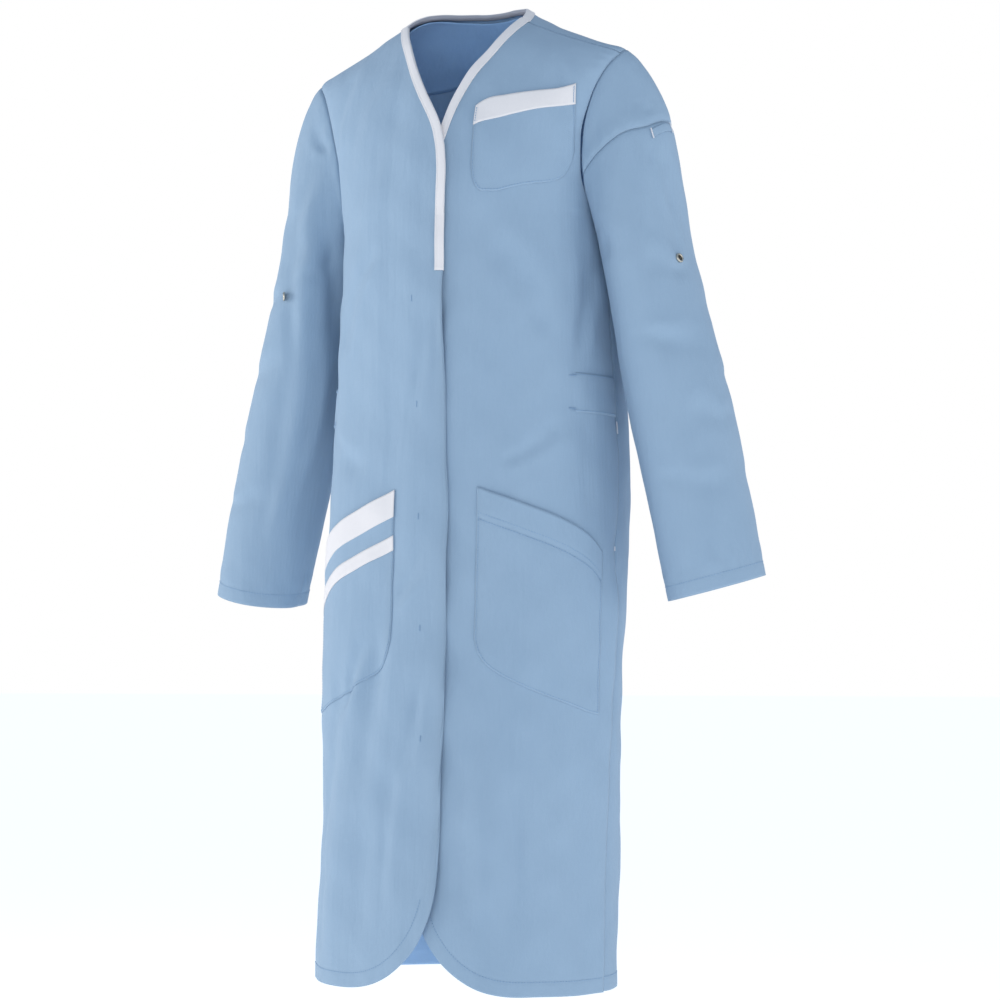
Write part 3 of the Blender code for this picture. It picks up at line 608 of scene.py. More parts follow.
@dataclass
class ArmForm:
    """The wearer's left sleeve before it creases; the right one mirrors it.

    A point is read by its turn round the armhole, as on the shoulder arch, and its travel: 0 at
    the armhole, 1 at the first ring of the arm and 2 at the cuff.
    """

    body: BodyForm
    angles: Array = field(init=False)

    def __post_init__(self) -> None:
        """Spreads the armhole's points evenly round the arm."""
        turns = np.array(SLEEVE_KNOTS, float)
        ring = self.body.high(ARMHOLE.read("x", turns), turns)
        run = run_along(np.vstack([ring, ring[:1]]))
        crest = SLEEVE_KNOTS.index(94)
        front = np.pi * run[: crest + 1] / run[crest]
        rear = np.pi + np.pi * (run[crest + 1 : -1] - run[crest]) / (run[-1] - run[crest])
        self.angles = np.concatenate([front, rear, [2 * np.pi]])

    @staticmethod
    def line() -> tuple[Array, float, Array, Array, Array]:
        """The arm line's start, length and its outward, forward and downward ways."""
        start, end = np.array(ARM_TOP), np.array(ARM_END)
        down = unit(end - start)
        ahead = np.array([0.0, -1.0, 0.0])
        forward = unit(ahead - down * np.dot(ahead, down))
        outward = np.cross(forward, down)
        outward = outward if outward[0] > 0 else -outward
        return start, float(np.linalg.norm(end - start)), outward, forward, down

    def tube(self, angle: Array, along: Array) -> Array:
        """The arm tube at a ring angle and a share of the arm line."""
        start, length, outward, forward, down = self.line()
        out = -np.cos(angle) * SLEEVE_RINGS.read("half_width", along)
        ahead = np.sin(angle) * SLEEVE_RINGS.read("half_depth", along)
        drop = along * length + ahead * math.tan(math.radians(CUFF_TILT)) * along
        return (
            start
            + out[..., None] * outward
            + ahead[..., None] * forward
            + np.asarray(drop)[..., None] * down
        )

    def bare(self, turn: Array, travel: Array) -> Array:
        """The smooth sleeve at a turn and a travel."""
        turn, travel = paired(turn, travel)
        known = np.array(SLEEVE_KNOTS + (180,), float)
        turn = np.mod(turn, 180.0)
        angle = np.interp(turn, known, self.angles)
        start = self.body.high(ARMHOLE.read("x", turn), turn)
        target = self.tube(angle, CAP_SHARE + 0 * angle)
        down = self.line()[4]
        high = ease((start[..., 2:] - UNDERARM) / 0.17)
        leave = unit(down * (1.15 - high) + np.array([1.0, 0.0, -0.85]) * high)
        gap = np.linalg.norm(target - start, axis=-1, keepdims=True)
        t = np.clip(travel, 0, 1)[..., None]
        cap = (
            (start + leave * 0.0002) * (1 + 2 * t) * (1 - t) ** 2
            + target * t**2 * (3 - 2 * t)
            + gap * (leave * t * (1 - t) ** 2 + down * t**2 * (t - 1))
        )
        arm = self.tube(angle, CAP_SHARE + (1 - CAP_SHARE) * np.clip(travel - 1, 0, 1))
        return np.where(travel[..., None] < 1, cap, arm)

    def out(self, turn: Array, travel: Array) -> Array:
        """The way out of the smooth sleeve."""
        here = self.bare(turn, travel)
        round_arm = self.bare(np.asarray(turn) + 0.5, travel) - here
        back = np.where(np.asarray(travel) > 1.985, -1.0, 1.0)
        along_arm = (self.bare(turn, travel + 0.01 * back) - here) * back[..., None]
        return unit(np.cross(along_arm, round_arm))

    def even_turns(self, count: int) -> Array:
        """Turns that stand at even distances round the armhole, the last one short of the first."""
        fine = np.linspace(0, 180, 1441)
        run = run_along(self.body.high(ARMHOLE.read("x", fine), fine))
        return np.interp(np.linspace(0, run[-1], count + 1)[:-1], run, fine)


# ---- finishes

class Slot(Enum):
    """The record's material slots."""

    CLOTH = "blue_twill"
    TRIM = "white_trim"
    METAL = "snap_metal"


def node(
    tree: bpy.types.NodeTree, kind: str, feeds: dict[str | int, object], **settings: object
) -> bpy.types.Node:
    """Adds a node to a tree.

    Args:
        tree: The tree.
        kind: The node's type, after "ShaderNode".
        feeds: For each named or numbered input, the socket that feeds it or its constant.
        settings: The node's own settings.

    Returns:
        The node.
    """
    made = tree.nodes.new("ShaderNode" + kind)
    for name, value in settings.items():
        setattr(made, name, value)
    for name, value in feeds.items():
        if isinstance(value, bpy.types.NodeSocket):
            tree.links.new(value, made.inputs[name])
        else:
            made.inputs[name].default_value = value
    return made


def new_material(name: str) -> tuple[bpy.types.Material, bpy.types.NodeTree, bpy.types.Node]:
    """A new material, its tree and its shader."""
    made = bpy.data.materials.new(name)
    made.use_nodes = True
    return made, made.node_tree, made.node_tree.nodes["Principled BSDF"]


class NodeShelf:
    """Shader node groups that several finishes share, each built once."""

    @staticmethod
    def group(
        name: str, goes_in: dict[str, tuple[str, float | None]], comes_out: dict[str, str]
    ) -> tuple[bpy.types.NodeTree, bpy.types.NodeOutputs, bpy.types.NodeInputs]:
        """Starts a group.

        Args:
            name: Its name.
            goes_in: The kind and starting value of each socket that goes in.
            comes_out: The kind of each socket that comes out.

        Returns:
            The group, the sockets to build from and the sockets to build to.
        """
        tree = bpy.data.node_groups.new(name, "ShaderNodeTree")
        for label, (kind, value) in goes_in.items():
            socket = tree.interface.new_socket(
                name=label, in_out="INPUT", socket_type="NodeSocket" + kind
            )
            if value is not None:
                socket.default_value = value
        for label, kind in comes_out.items():
            tree.interface.new_socket(
                name=label, in_out="OUTPUT", socket_type="NodeSocket" + kind
            )
        entry, leave = tree.nodes.new("NodeGroupInput"), tree.nodes.new("NodeGroupOutput")
        return tree, entry.outputs, leave.inputs

    @cached_property
    def weave(self) -> bpy.types.NodeTree:
        """Twill threads: fine slanting ribs with uneven warp and weft."""
        tree, given, result = self.group(
            "twill_weave",
            {"Vector": ("Vector", None), "Pitch": ("Float", 0.0009), "Slub": ("Float", 0.35)},
            {"Height": "Float", "Thread": "Float"},
        )
        pitch = node(tree, "CombineXYZ", {axis: given["Pitch"] for axis in range(3)}).outputs[0]
        scaled = node(
            tree, "VectorMath", {0: given["Vector"], 1: pitch}, operation="DIVIDE"
        ).outputs[0]
        slant = node(
            tree, "TexWave", {"Vector": scaled, "Scale": 0.33, "Distortion": 1.2, "Detail": 1.0},
            bands_direction="DIAGONAL",
        )
        threads = []
        for stretch in ((0.9, 0.05, 1.0), (0.05, 0.9, 1.0)):
            drawn = node(tree, "VectorMath", {0: scaled, 1: stretch}, operation="MULTIPLY")
            threads.append(node(
                tree, "TexNoise", {"Vector": drawn.outputs[0], "Scale": 1.0, "Detail": 2.0}
            ).outputs[0])
        crossed = node(tree, "Math", dict(enumerate(threads)), operation="ADD").outputs[0]
        height = node(
            tree, "Math", {0: crossed, 1: given["Slub"], 2: slant.outputs["Fac"]},
            operation="MULTIPLY_ADD",
        )
        half = node(tree, "Math", {0: crossed, 1: 0.5}, operation="MULTIPLY")
        tree.links.new(height.outputs[0], result["Height"])
        tree.links.new(half.outputs[0], result["Thread"])
        return tree

    @cached_property
    def handled(self) -> bpy.types.NodeTree:
        """The slow drift of tone, the streaks and the small crumple of cloth that was worn."""
        tree, given, result = self.group(
            "handled_cloth",
            {
                "Position": ("Vector", None), "Light": ("Color", None), "Dark": ("Color", None),
                "Threads": ("Float", 0.5),
            },
            {"Colour": "Color", "Crumple": "Float", "Dullness": "Float"},
        )
        place = given["Position"]
        slow = node(tree, "TexNoise", {"Vector": place, "Scale": 7.0, "Detail": 3.0}).outputs[0]
        small = node(
            tree, "TexNoise", {"Vector": place, "Scale": 85.0, "Detail": 3.0, "Roughness": 0.55}
        ).outputs[0]
        drawn = node(tree, "VectorMath", {0: place, 1: (62.0, 62.0, 7.5)}, operation="MULTIPLY")
        streak = node(
            tree, "TexNoise",
            {"Vector": drawn.outputs[0], "Scale": 1.0, "Detail": 3.0, "Roughness": 0.5},
        ).outputs[0]
        creased = node(tree, "Math", {0: streak, 1: 5.5, 2: small}, operation="MULTIPLY_ADD")
        mixed = node(
            tree, "Math", {0: given["Threads"], 1: 0.80, 2: slow}, operation="MULTIPLY_ADD"
        )
        spread = node(
            tree, "MapRange", {"Value": mixed.outputs[0], "From Min": 0.50, "From Max": 1.25}
        )
        tone = node(
            tree, "Mix", {"Factor": spread.outputs[0], 6: given["Dark"], 7: given["Light"]},
            data_type="RGBA",
        )
        dull = node(tree, "MapRange", {"Value": small, "To Min": 0.78, "To Max": 0.93})
        tree.links.new(tone.outputs[2], result["Colour"])
        tree.links.new(creased.outputs[0], result["Crumple"])
        tree.links.new(dull.outputs[0], result["Dullness"])
        return tree


@dataclass(frozen=True)
class ClothFinish:
    """A woven cloth.

    Attributes:
        name: The material's name.
        light: Colour where the cloth is palest.
        dark: Colour where it is deepest.
        pitch: Distance between the ribs of its weave, metres.
        rib: How far the ribs stand up, metres.
        crumple: How far its small creasing stands up, metres.
        slot: The record's slot that it stands for.
    """

    name: str
    light: tuple[float, float, float]
    dark: tuple[float, float, float]
    pitch: float = 0.0009
    rib: float = 0.00014
    crumple: float = 0.0005
    slot: Slot = Slot.CLOTH

    def material(self, shelf: NodeShelf) -> bpy.types.Material:
        """The cloth's material, made on first use from the shared groups."""
        if known := bpy.data.materials.get(self.name):
            return known
        made, tree, shader = new_material(self.name)
        chart = node(tree, "UVMap", {}, uv_map="cloth")
        place = node(tree, "TexCoord", {})
        weave = tree.nodes.new("ShaderNodeGroup")
        weave.node_tree = shelf.weave
        weave.inputs["Pitch"].default_value = self.pitch
        worn = tree.nodes.new("ShaderNodeGroup")
        worn.node_tree = shelf.handled
        worn.inputs["Light"].default_value = (*self.light, 1.0)
        worn.inputs["Dark"].default_value = (*self.dark, 1.0)
        link = tree.links.new
        link(chart.outputs[0], weave.inputs["Vector"])
        link(place.outputs["Object"], worn.inputs["Position"])
        link(weave.outputs["Thread"], worn.inputs["Threads"])
        link(worn.outputs["Colour"], shader.inputs["Base Color"])
        link(worn.outputs["Dullness"], shader.inputs["Roughness"])
        creased = node(tree, "Bump", {
            "Strength": 0.6, "Distance": self.crumple, "Height": worn.outputs["Crumple"],
        })
        ribbed = node(tree, "Bump", {
            "Strength": 0.6, "Distance": self.rib, "Height": weave.outputs["Height"],
            "Normal": creased.outputs[0],
        })
        link(ribbed.outputs[0], shader.inputs["Normal"])
        shader.inputs["Specular IOR Level"].default_value = 0.25
        shader.inputs["Sheen Weight"].default_value = 0.12
        shader.inputs["Sheen Roughness"].default_value = 0.5
        return made


@dataclass(frozen=True)
class MetalFinish:
    """Stamped metal with a slightly rubbed face."""

    name: str
    colour: tuple[float, float, float]
    roughness: float
    slot: Slot = Slot.METAL

    def material(self, shelf: NodeShelf) -> bpy.types.Material:
        """The metal's material, with a little unevenness in its polish, made on first use."""
        if known := bpy.data.materials.get(self.name):
            return known
        made, tree, shader = new_material(self.name)
        shader.inputs["Metallic"].default_value = 1.0
        place = node(tree, "TexCoord", {}).outputs["Object"]
        rubbed = node(tree, "TexNoise", {"Vector": place, "Scale": 900.0}).outputs[0]
        worn = (*[c * 0.8 for c in self.colour], 1.0)
        tone = node(
            tree, "Mix", {"Factor": rubbed, 6: worn, 7: (*self.colour, 1.0)}, data_type="RGBA"
        )
        polish = node(tree, "MapRange", {
            "Value": rubbed, "To Min": self.roughness - 0.08, "To Max": self.roughness + 0.10,
        })
        tree.links.new(tone.outputs[2], shader.inputs["Base Color"])
        tree.links.new(polish.outputs[0], shader.inputs["Roughness"])
        return made


BLUE = ClothFinish("sky_blue_twill", (0.331, 0.455, 0.592), (0.301, 0.424, 0.562))
# Painted light: a paler, bluer copy of the blue twill for the cloth's inner faces, standing in for
# the light that fills the inside of the coat.
INSIDE_PAINTED_LIGHT = ClothFinish("sky_blue_twill_inside_painted_light", (0.360, 0.545, 0.780), (0.330, 0.510, 0.745))
# Painted light: a still paler, bluer copy of the blue twill for the back neck facing, standing in
# for the light inside the back neck.
FACING_PAINTED_LIGHT = ClothFinish("sky_blue_twill_facing_painted_light", (0.370, 0.600, 0.920), (0.340, 0.565, 0.885))
WHITE = ClothFinish(
    "white_twill", (0.865, 0.830, 0.830), (0.820, 0.790, 0.795), crumple=0.0003, slot=Slot.TRIM
)
# Painted shade: a grey copy of the white trim for the binding's flap behind the back neck, where it
# lies in shade.
WHITE_PAINTED_SHADE = ClothFinish(
    "white_twill_painted_shade", (0.430, 0.435, 0.490), (0.395, 0.400, 0.455), crumple=0.0003,
    slot=Slot.TRIM,
)
BLUE_THREAD = ClothFinish(
    "blue_thread", (0.290, 0.428, 0.60), (0.250, 0.385, 0.555), 0.0004, 0.00005, 0.0001
)
WHITE_THREAD = ClothFinish(
    "white_thread", (0.84, 0.84, 0.87), (0.76, 0.76, 0.80), 0.0004, 0.00005, 0.0001, Slot.TRIM
)
NICKEL = MetalFinish("snap_nickel", (0.62, 0.58, 0.50), 0.30)
SOCKET = MetalFinish("snap_socket", (0.10, 0.09, 0.08), 0.45)


# ---- making pieces

@dataclass
class Workshop:
    """Turns grids of points into finished pieces that ride with the coat."""

    shelf: NodeShelf = field(default_factory=NodeShelf)
    made: list[bpy.types.Object] = field(default_factory=list)

    def piece(
        self, name: str, points: Array, faces: Sequence[Sequence[int]],
        finish: ClothFinish | MetalFinish, replaces: Sequence[str] = (), wall: float = 0.0,
    ) -> bpy.types.Object:
        """Makes one piece, gives it its finish and ties it to the coat.

        Args:
            name: The piece's name.
            points: Its points, one a row.
            faces: Its faces, as lists of point numbers.
            finish: What it is made of.
            replaces: The solids that it stands for.
            wall: Thickness that goes on behind the faces.

        Returns:
            The piece.
        """
        mesh = bpy.data.meshes.new(name)
        mesh.from_pydata(leaned(np.asarray(points)).tolist(), [], faces)
        mesh.update()
        mesh.shade_smooth()
        item = bpy.data.objects.new(name, mesh)
        bpy.context.scene.collection.objects.link(item)
        mesh.materials.append(finish.material(self.shelf))
        if wall:
            thicken = item.modifiers.new("wall", "SOLIDIFY")
            thicken.thickness = wall
            thicken.offset = -1.0
            thicken.use_quality_normals = True
            # The inner faces of the blue cloth take its paler, bluer copy: painted light inside the
            # coat.
            if finish is BLUE:
                mesh.materials.append(INSIDE_PAINTED_LIGHT.material(self.shelf))
                thicken.material_offset = 1
        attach(item, "root")
        if replaces:
            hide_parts(*replaces)
        self.made.append(item)
        return item

    def cloth(
        self, name: str, grid: Array, finish: ClothFinish, replaces: Sequence[str] = (),
        wall: float = WALL, ring: bool = False, flip: bool = False,
    ) -> bpy.types.Object:
        """Makes cloth from a grid of its outer face.

        Args:
            name: The piece's name.
            grid: Rows of points of the outer face.
            finish: The cloth.
            replaces: The solids that it stands for.
            wall: The cloth's thickness, which goes on the inside.
            ring: Whether each row closes on itself.
            flip: Whether the faces have to be turned over.

        Returns:
            The piece.
        """
        wide = grid.shape[1]
        if ring:
            grid = np.concatenate([grid, grid[:, :1]], axis=1)
        rows, columns = grid.shape[:2]
        across = np.linalg.norm(np.diff(grid, axis=1), axis=2)
        up = np.linalg.norm(np.diff(grid, axis=0), axis=2)
        u = np.concatenate([np.zeros((rows, 1)), np.cumsum(across, axis=1)], axis=1)
        v = np.concatenate([np.zeros((1, columns)), np.cumsum(up, axis=0)], axis=0)
        faces: list[tuple[int, ...]] = []
        chart: list[tuple[float, float]] = []
        for i in range(rows - 1):
            for j in range(columns - 1):
                cells = ((i, j), (i, j + 1), (i + 1, j + 1), (i + 1, j))
                cells = cells[::-1] if flip else cells
                faces.append(tuple(a * wide + b % wide for a, b in cells))
                chart.extend((u[a, b], v[a, b]) for a, b in cells)
        item = self.piece(name, grid[:, :wide].reshape(-1, 3), faces, finish, replaces, wall)
        layer = item.data.uv_layers.new(name="cloth")
        layer.data.foreach_set("uv", np.array(chart, np.float32).ravel())
        return item

    def stitches(
        self, name: str, runs: Iterable[tuple[Array, Array]], finish: ClothFinish,
        thick: float = STITCH_RADIUS,
    ) -> None:
        """Sews rows of stitches as small bowed threads, all in one piece.

        Args:
            name: The piece's name.
            runs: Lines of points on the cloth, each with the way out at its points.
            finish: The thread.
            thick: Radius of the thread.
        """
        starts, ways, outs = [], [], []
        for line, out in runs:
            run = run_along(line)
            at = np.arange(STITCH_PITCH / 2, run[-1] - STITCH_LENGTH, STITCH_PITCH)
            starts.append(sampled(line, run, at))
            ends = sampled(line, run, np.minimum(at + STITCH_LENGTH, run[-1]))
            ways.append(ends - starts[-1])
            outs.append(unit(sampled(out, run, at)))
        self.threads(name, np.vstack(starts), np.vstack(ways), np.vstack(outs), finish, thick)

    def threads(
        self, name: str, start: Array, way: Array, out: Array, finish: ClothFinish, thick: float
    ) -> None:
        """Makes short bowed threads, one for each start, all in one piece.

        Args:
            name: The piece's name.
            start: Where each thread enters the cloth.
            way: From there to where it goes in again.
            out: The way out of the cloth.
            finish: The thread.
            thick: Its radius.
        """
        side = unit(np.cross(unit(way), out))
        rings = []
        for share, rise, wide in THREAD_STATIONS:
            middle = start + way * share + out * thick * rise
            for k in range(THREAD_SIDES):
                angle = 2 * math.pi * k / THREAD_SIDES
                rings.append(
                    middle + thick * wide * (side * math.cos(angle) + out * math.sin(angle) * 0.8)
                )
        points = np.stack(rings, axis=1)
        each = points.shape[1]
        pattern = strip_faces(len(THREAD_STATIONS), THREAD_SIDES)
        pattern.append(tuple(range(THREAD_SIDES))[::-1])
        pattern.append(tuple(range(each - THREAD_SIDES, each)))
        faces = [
            tuple(index + n * each for index in face) for n in range(len(start)) for face in pattern
        ]
        self.piece(name, points.reshape(-1, 3), faces, finish)


# ---- the two fronts

@dataclass
class Front:
    """One front of the coat, read by distance in from the centre front and by height or turn.

    Attributes:
        body: The bare form.
        drape: The creases of the body.
        side: +1 for the wearer's left front, -1 for the right one that laps over it.
        columns: Points across it.
        rows: Rows below the underarm.
        high_rows: Rows above it.
    """

    body: BodyForm
    drape: Drape
    side: int
    columns: int = 78
    rows: int = 236
    high_rows: int = 74

    @property
    def label(self) -> str:
        """The side as a word."""
        return "left" if self.side > 0 else "right"

    def lap(self, height: Array) -> Array:
        """How far past the centre front its edge lies."""
        return LAP - self.side * SWING.read("swing", height)

    def lap_lift(self, across: Array, height: Array) -> Array:
        """How far the right front stands off the left one under it."""
        if self.side > 0:
            return 0 * across
        under = LAP - SWING.read("swing", height)
        lift = LAP_LIFT_LOW + (LAP_LIFT - LAP_LIFT_LOW) * ease((height - BINDING_END + 0.05) / 0.06)
        return lift * (1 - ease((across - under - 0.004) / 0.034))

    def edge_play(self, across: Array, level: Array) -> Array:
        """How the free front edge lifts and sinks on its way down."""
        inward = across + self.lap(level)
        near = 1 - ease(inward / 0.052)
        wave = EDGE_PLAY.read("lift", level)
        if self.side > 0:
            return -0.0012 * near * (0.5 + 0.5 * wave)
        return 0.0024 * near * wave

    def sewing(self, across: Array, level: Array) -> Array:
        """Hem, side seam and underarm as the sewing draws them in."""
        inward = across + self.lap(level)
        slope = np.sqrt(1 + self.hem_slope(inward) ** 2)
        from_hem = (level - self.hem_height(inward)) / slope
        pucker = hem_pucker(across)
        seam = self.body.side_distance(level) - across
        vent, pocket = open_side(level)
        gap = (0.0020 + 0.0034 * gape(level)) * vent + 0.0012 * pocket
        move = hem_fold(from_hem, pucker) + side_seam(level, seam)
        move += 0.0004 * bump(from_hem - HEM_TURNED * 0.5, 0.006) * (pucker - 0.5)
        move += gap * (1 - ease(seam / 0.022)) - 0.0006 * bump(seam - 0.011, 0.0014) * vent
        return move - 0.0006 * bump(inward, 0.0016)

    @staticmethod
    def hem_height(inward: Array) -> Array:
        """Height of the hem at a distance in from the front edge, with its rounded corner."""
        t = np.clip(1 - inward / HEM_CORNER_RUN, 0, 1)
        return HEM + HEM_CORNER_RISE * (1 - np.sqrt(np.clip(1 - t**2.4, 0, 1)))

    def hem_slope(self, inward: Array) -> Array:
        """Steepness of the hem."""
        step = 0.0005
        inward = np.clip(inward, 0.001, None)
        return (self.hem_height(inward + step) - self.hem_height(inward - step)) / (2 * step)

    def low(self, across: Array, height: Array, lift: Array | float = 0.0) -> tuple[Array, Array]:
        """Cloth below the underarm.

        Args:
            across: Distance in from the centre front.
            height: Height.
            lift: How far off the cloth.

        Returns:
            The points, and the way out of the cloth at each.
        """
        across, height = paired(across, height)
        here, out = surface(self.body.low, self.side * across, height, SHORT_STEP)
        smooth = here + out * self.lap_lift(across, height)[..., None]
        move = self.drape.relief(smooth, out) + self.sewing(across, height)
        move = move + self.edge_play(across, height) + lift
        return smooth + out * move[..., None], out

    def high(self, x: Array, turn: Array, lift: Array | float = 0.0) -> tuple[Array, Array]:
        """Cloth above the underarm, as `low` with a turn for the height."""
        x, turn = paired(x, turn)
        here, out = surface(self.body.high, x, turn, TURN_STEP)
        smooth = here + out * self.lap_lift(x, UNDERARM + 0 * x)[..., None]
        mirror = np.array([self.side, 1.0, 1.0])
        smooth, out = smooth * mirror, out * mirror
        armhole = ARMHOLE.read("x", turn) - x
        round_arm = np.sin(turn * 0.75 + 2 * np.sin(turn * 0.2))
        move = self.drape.relief(smooth, out)
        drawn_in = 0.0009 if self.side < 0 else 0.0004
        move = move - drawn_in * bump(armhole, 0.0026)
        move = move + 0.0007 * bump(armhole - 0.008, 0.006) * (0.7 + 0.3 * round_arm)
        shoulder = (SEAM_TURN - turn) * SHOULDER_RUN
        along = np.sin(x * 2 * math.pi / 0.024 + 1.0)
        move = move - 0.0008 * bump(shoulder, 0.0024)
        move = move + 0.0005 * bump(shoulder - 0.007, 0.005) * (0.7 + 0.3 * along) + lift
        return smooth + out * move[..., None], out

    def grid(self) -> Array:
        """Points of the outer face, from the hem to the shoulder seam."""
        spread = np.concatenate([
            np.linspace(0, 0.10, 13)[:-1], np.linspace(0.10, 1.0, self.columns - 12)
        ])
        rows: list[Array] = []
        shares = np.concatenate([
            np.linspace(0, 0.025, 12)[:-1], np.linspace(0.025, 1.0, self.rows - 10)
        ])
        for v in shares:
            level = UNDERARM + (HEM - UNDERARM) * (1 - v)
            edge = -self.lap(level)
            across = edge + (self.body.side_distance(level) - 0.0001 - edge) * spread
            bottom = self.hem_height(across - edge)
            rows.append(np.stack([across, UNDERARM - (1 - v) * (UNDERARM - bottom)]))
        low = np.array(rows)
        lower = self.low(low[:, 0], low[:, 1])[0]
        edge = -self.lap(UNDERARM)
        reach = self.body.side_distance(UNDERARM) - edge
        top = self.body.low(edge + reach * spread, UNDERARM + 0 * spread)[:, 0]
        share = (top - edge) / (top[-1] - edge)
        turns = np.linspace(0, SEAM_TURN - 0.03, self.high_rows)[1:, None]
        start, end = NECKLINE.read(self.label, turns), ARMHOLE.read("x", turns)
        upper = self.high(start + (end - start) * share[None], turns)[0]
        return np.concatenate([lower, upper])

    def hem_line(self) -> tuple[Array, Array]:
        """The line of sewing that keeps its distance from the hem, and the way out along it."""
        inward = np.linspace(0.004, 0.30, 700)
        normal = unit(np.stack([-self.hem_slope(inward), np.ones_like(inward)], axis=1))
        level = self.hem_height(inward) + normal[:, 1] * HEM_TURNED
        inward = inward + normal[:, 0] * HEM_TURNED
        across = inward - self.lap(level)
        keep = (across < self.body.side_distance(level) - 0.0015) & (inward > 0.003)
        return self.low(across[keep], level[keep])

    def build(self, shop: Workshop) -> None:
        """Makes the front and its hem sewing."""
        name = f"front_{self.label}"
        front = shop.cloth(name + "_cloth", self.grid(), BLUE, [name], flip=self.side < 0)
        shop.stitches(name + "_hem_stitching", [self.hem_line()], BLUE_THREAD)


@dataclass
class Back:
    """The back of the coat, in one piece."""

    body: BodyForm
    drape: Drape
    columns: int = 128
    rows: int = 205
    high_rows: int = 92

    @staticmethod
    def top_turn(share: Array) -> Array:
        """Where the back stops: at the shoulder seam, or at the neck between the neck points."""
        neck = NECK_HALF / ARMHOLE.read("x", SEAM_TURN)
        inside = np.clip(1 - (share / neck) ** 2, 0, 1)
        return SEAM_TURN + 0.03 + (BACK_NECK_TURN - SEAM_TURN) * inside**BACK_NECK_CORNER

    def low(self, distance: Array, height: Array, lift: float = 0.0) -> tuple[Array, Array]:
        """Cloth below the underarm, at a signed distance round from the centre front."""
        here, out = surface(self.body.low, distance, height, SHORT_STEP)
        seam = np.abs(distance) - self.body.side_distance(height)
        vent, pocket = open_side(height)
        gap = (0.0026 + 0.0050 * gape(height)) * vent + 0.0014 * pocket
        move = self.drape.relief(here, out) + side_seam(height, seam)
        move += hem_fold(height - HEM, hem_pucker(distance)) - gap * (1 - ease(seam / 0.022))
        return here + out * (move + lift)[..., None], out

    def high(self, x: Array, turn: Array, lift: float = 0.0) -> tuple[Array, Array]:
        """Cloth above the underarm, at a distance out from the centre and a turn."""
        x, turn = paired(x, turn)
        here, out = surface(self.body.high, x, turn, TURN_STEP)
        armhole = ARMHOLE.read("x", turn) - np.abs(x)
        outside = (np.abs(x) > NECK_HALF).astype(float)
        shoulder = (turn - SEAM_TURN) * SHOULDER_RUN
        move = self.drape.relief(here, out)
        move = move - 0.0009 * bump(armhole, 0.0026) + 0.0006 * bump(armhole - 0.008, 0.006)
        move = move - 0.0008 * bump(shoulder, 0.0024) * outside
        return here + out * (move + lift)[..., None], out

    def grid(self) -> Array:
        """Points of the outer face, from the hem to the neck and shoulder seams."""
        neck = NECK_HALF / ARMHOLE.read("x", SEAM_TURN)
        inner = neck * np.sin(np.linspace(0, math.pi / 2, 30))
        outer = neck + (1 - neck) * np.linspace(0, 1, self.columns // 2 - 29)[1:]
        half = np.concatenate([inner, outer])
        share = np.concatenate([-half[:0:-1], half])
        even = np.linspace(-1, 1, len(share))
        sense = np.where(even < 0, -1.0, 1.0)
        shares = np.concatenate([
            np.linspace(0, 0.025, 10)[:-1], np.linspace(0.025, 1.0, self.rows - 8)
        ])
        height = (UNDERARM + (HEM - UNDERARM) * (1 - shares))[:, None] + 0 * even
        girth = self.body.half_girth(height)
        reach = girth - self.body.side_distance(height) - 0.0001
        lower = self.low(sense * (girth - reach * np.abs(even)), height)[0]
        base = self.body.low(sense * (girth - reach * np.abs(even))[-1], UNDERARM + 0 * even)
        low_share = base[:, 0] / ARMHOLE.read("x", 180.0)
        stop = self.top_turn(share)
        part = np.linspace(0, 1, self.high_rows)[1:, None]
        level = 180 - (180 - stop) * part
        here = low_share + (share - low_share) * ease(part)
        upper = self.high(here * ARMHOLE.read("x", level), level)[0]
        return np.concatenate([lower, upper])

    def build(self, shop: Workshop) -> None:
        """Makes the back and its hem sewing."""
        back = shop.cloth("back_cloth", self.grid(), BLUE, ["back"], flip=True)
        level = HEM + HEM_TURNED
        start = self.body.side_distance(np.array(level)) + 0.0015
        girth = self.body.half_girth(np.array(level))
        distance = np.linspace(start, 2 * girth - start, 900)
        distance = np.where(distance > girth, distance - 2 * girth, distance)
        line = self.low(distance, level + 0 * distance)
        shop.stitches("back_hem_stitching", [line], BLUE_THREAD)


# ---- sleeves

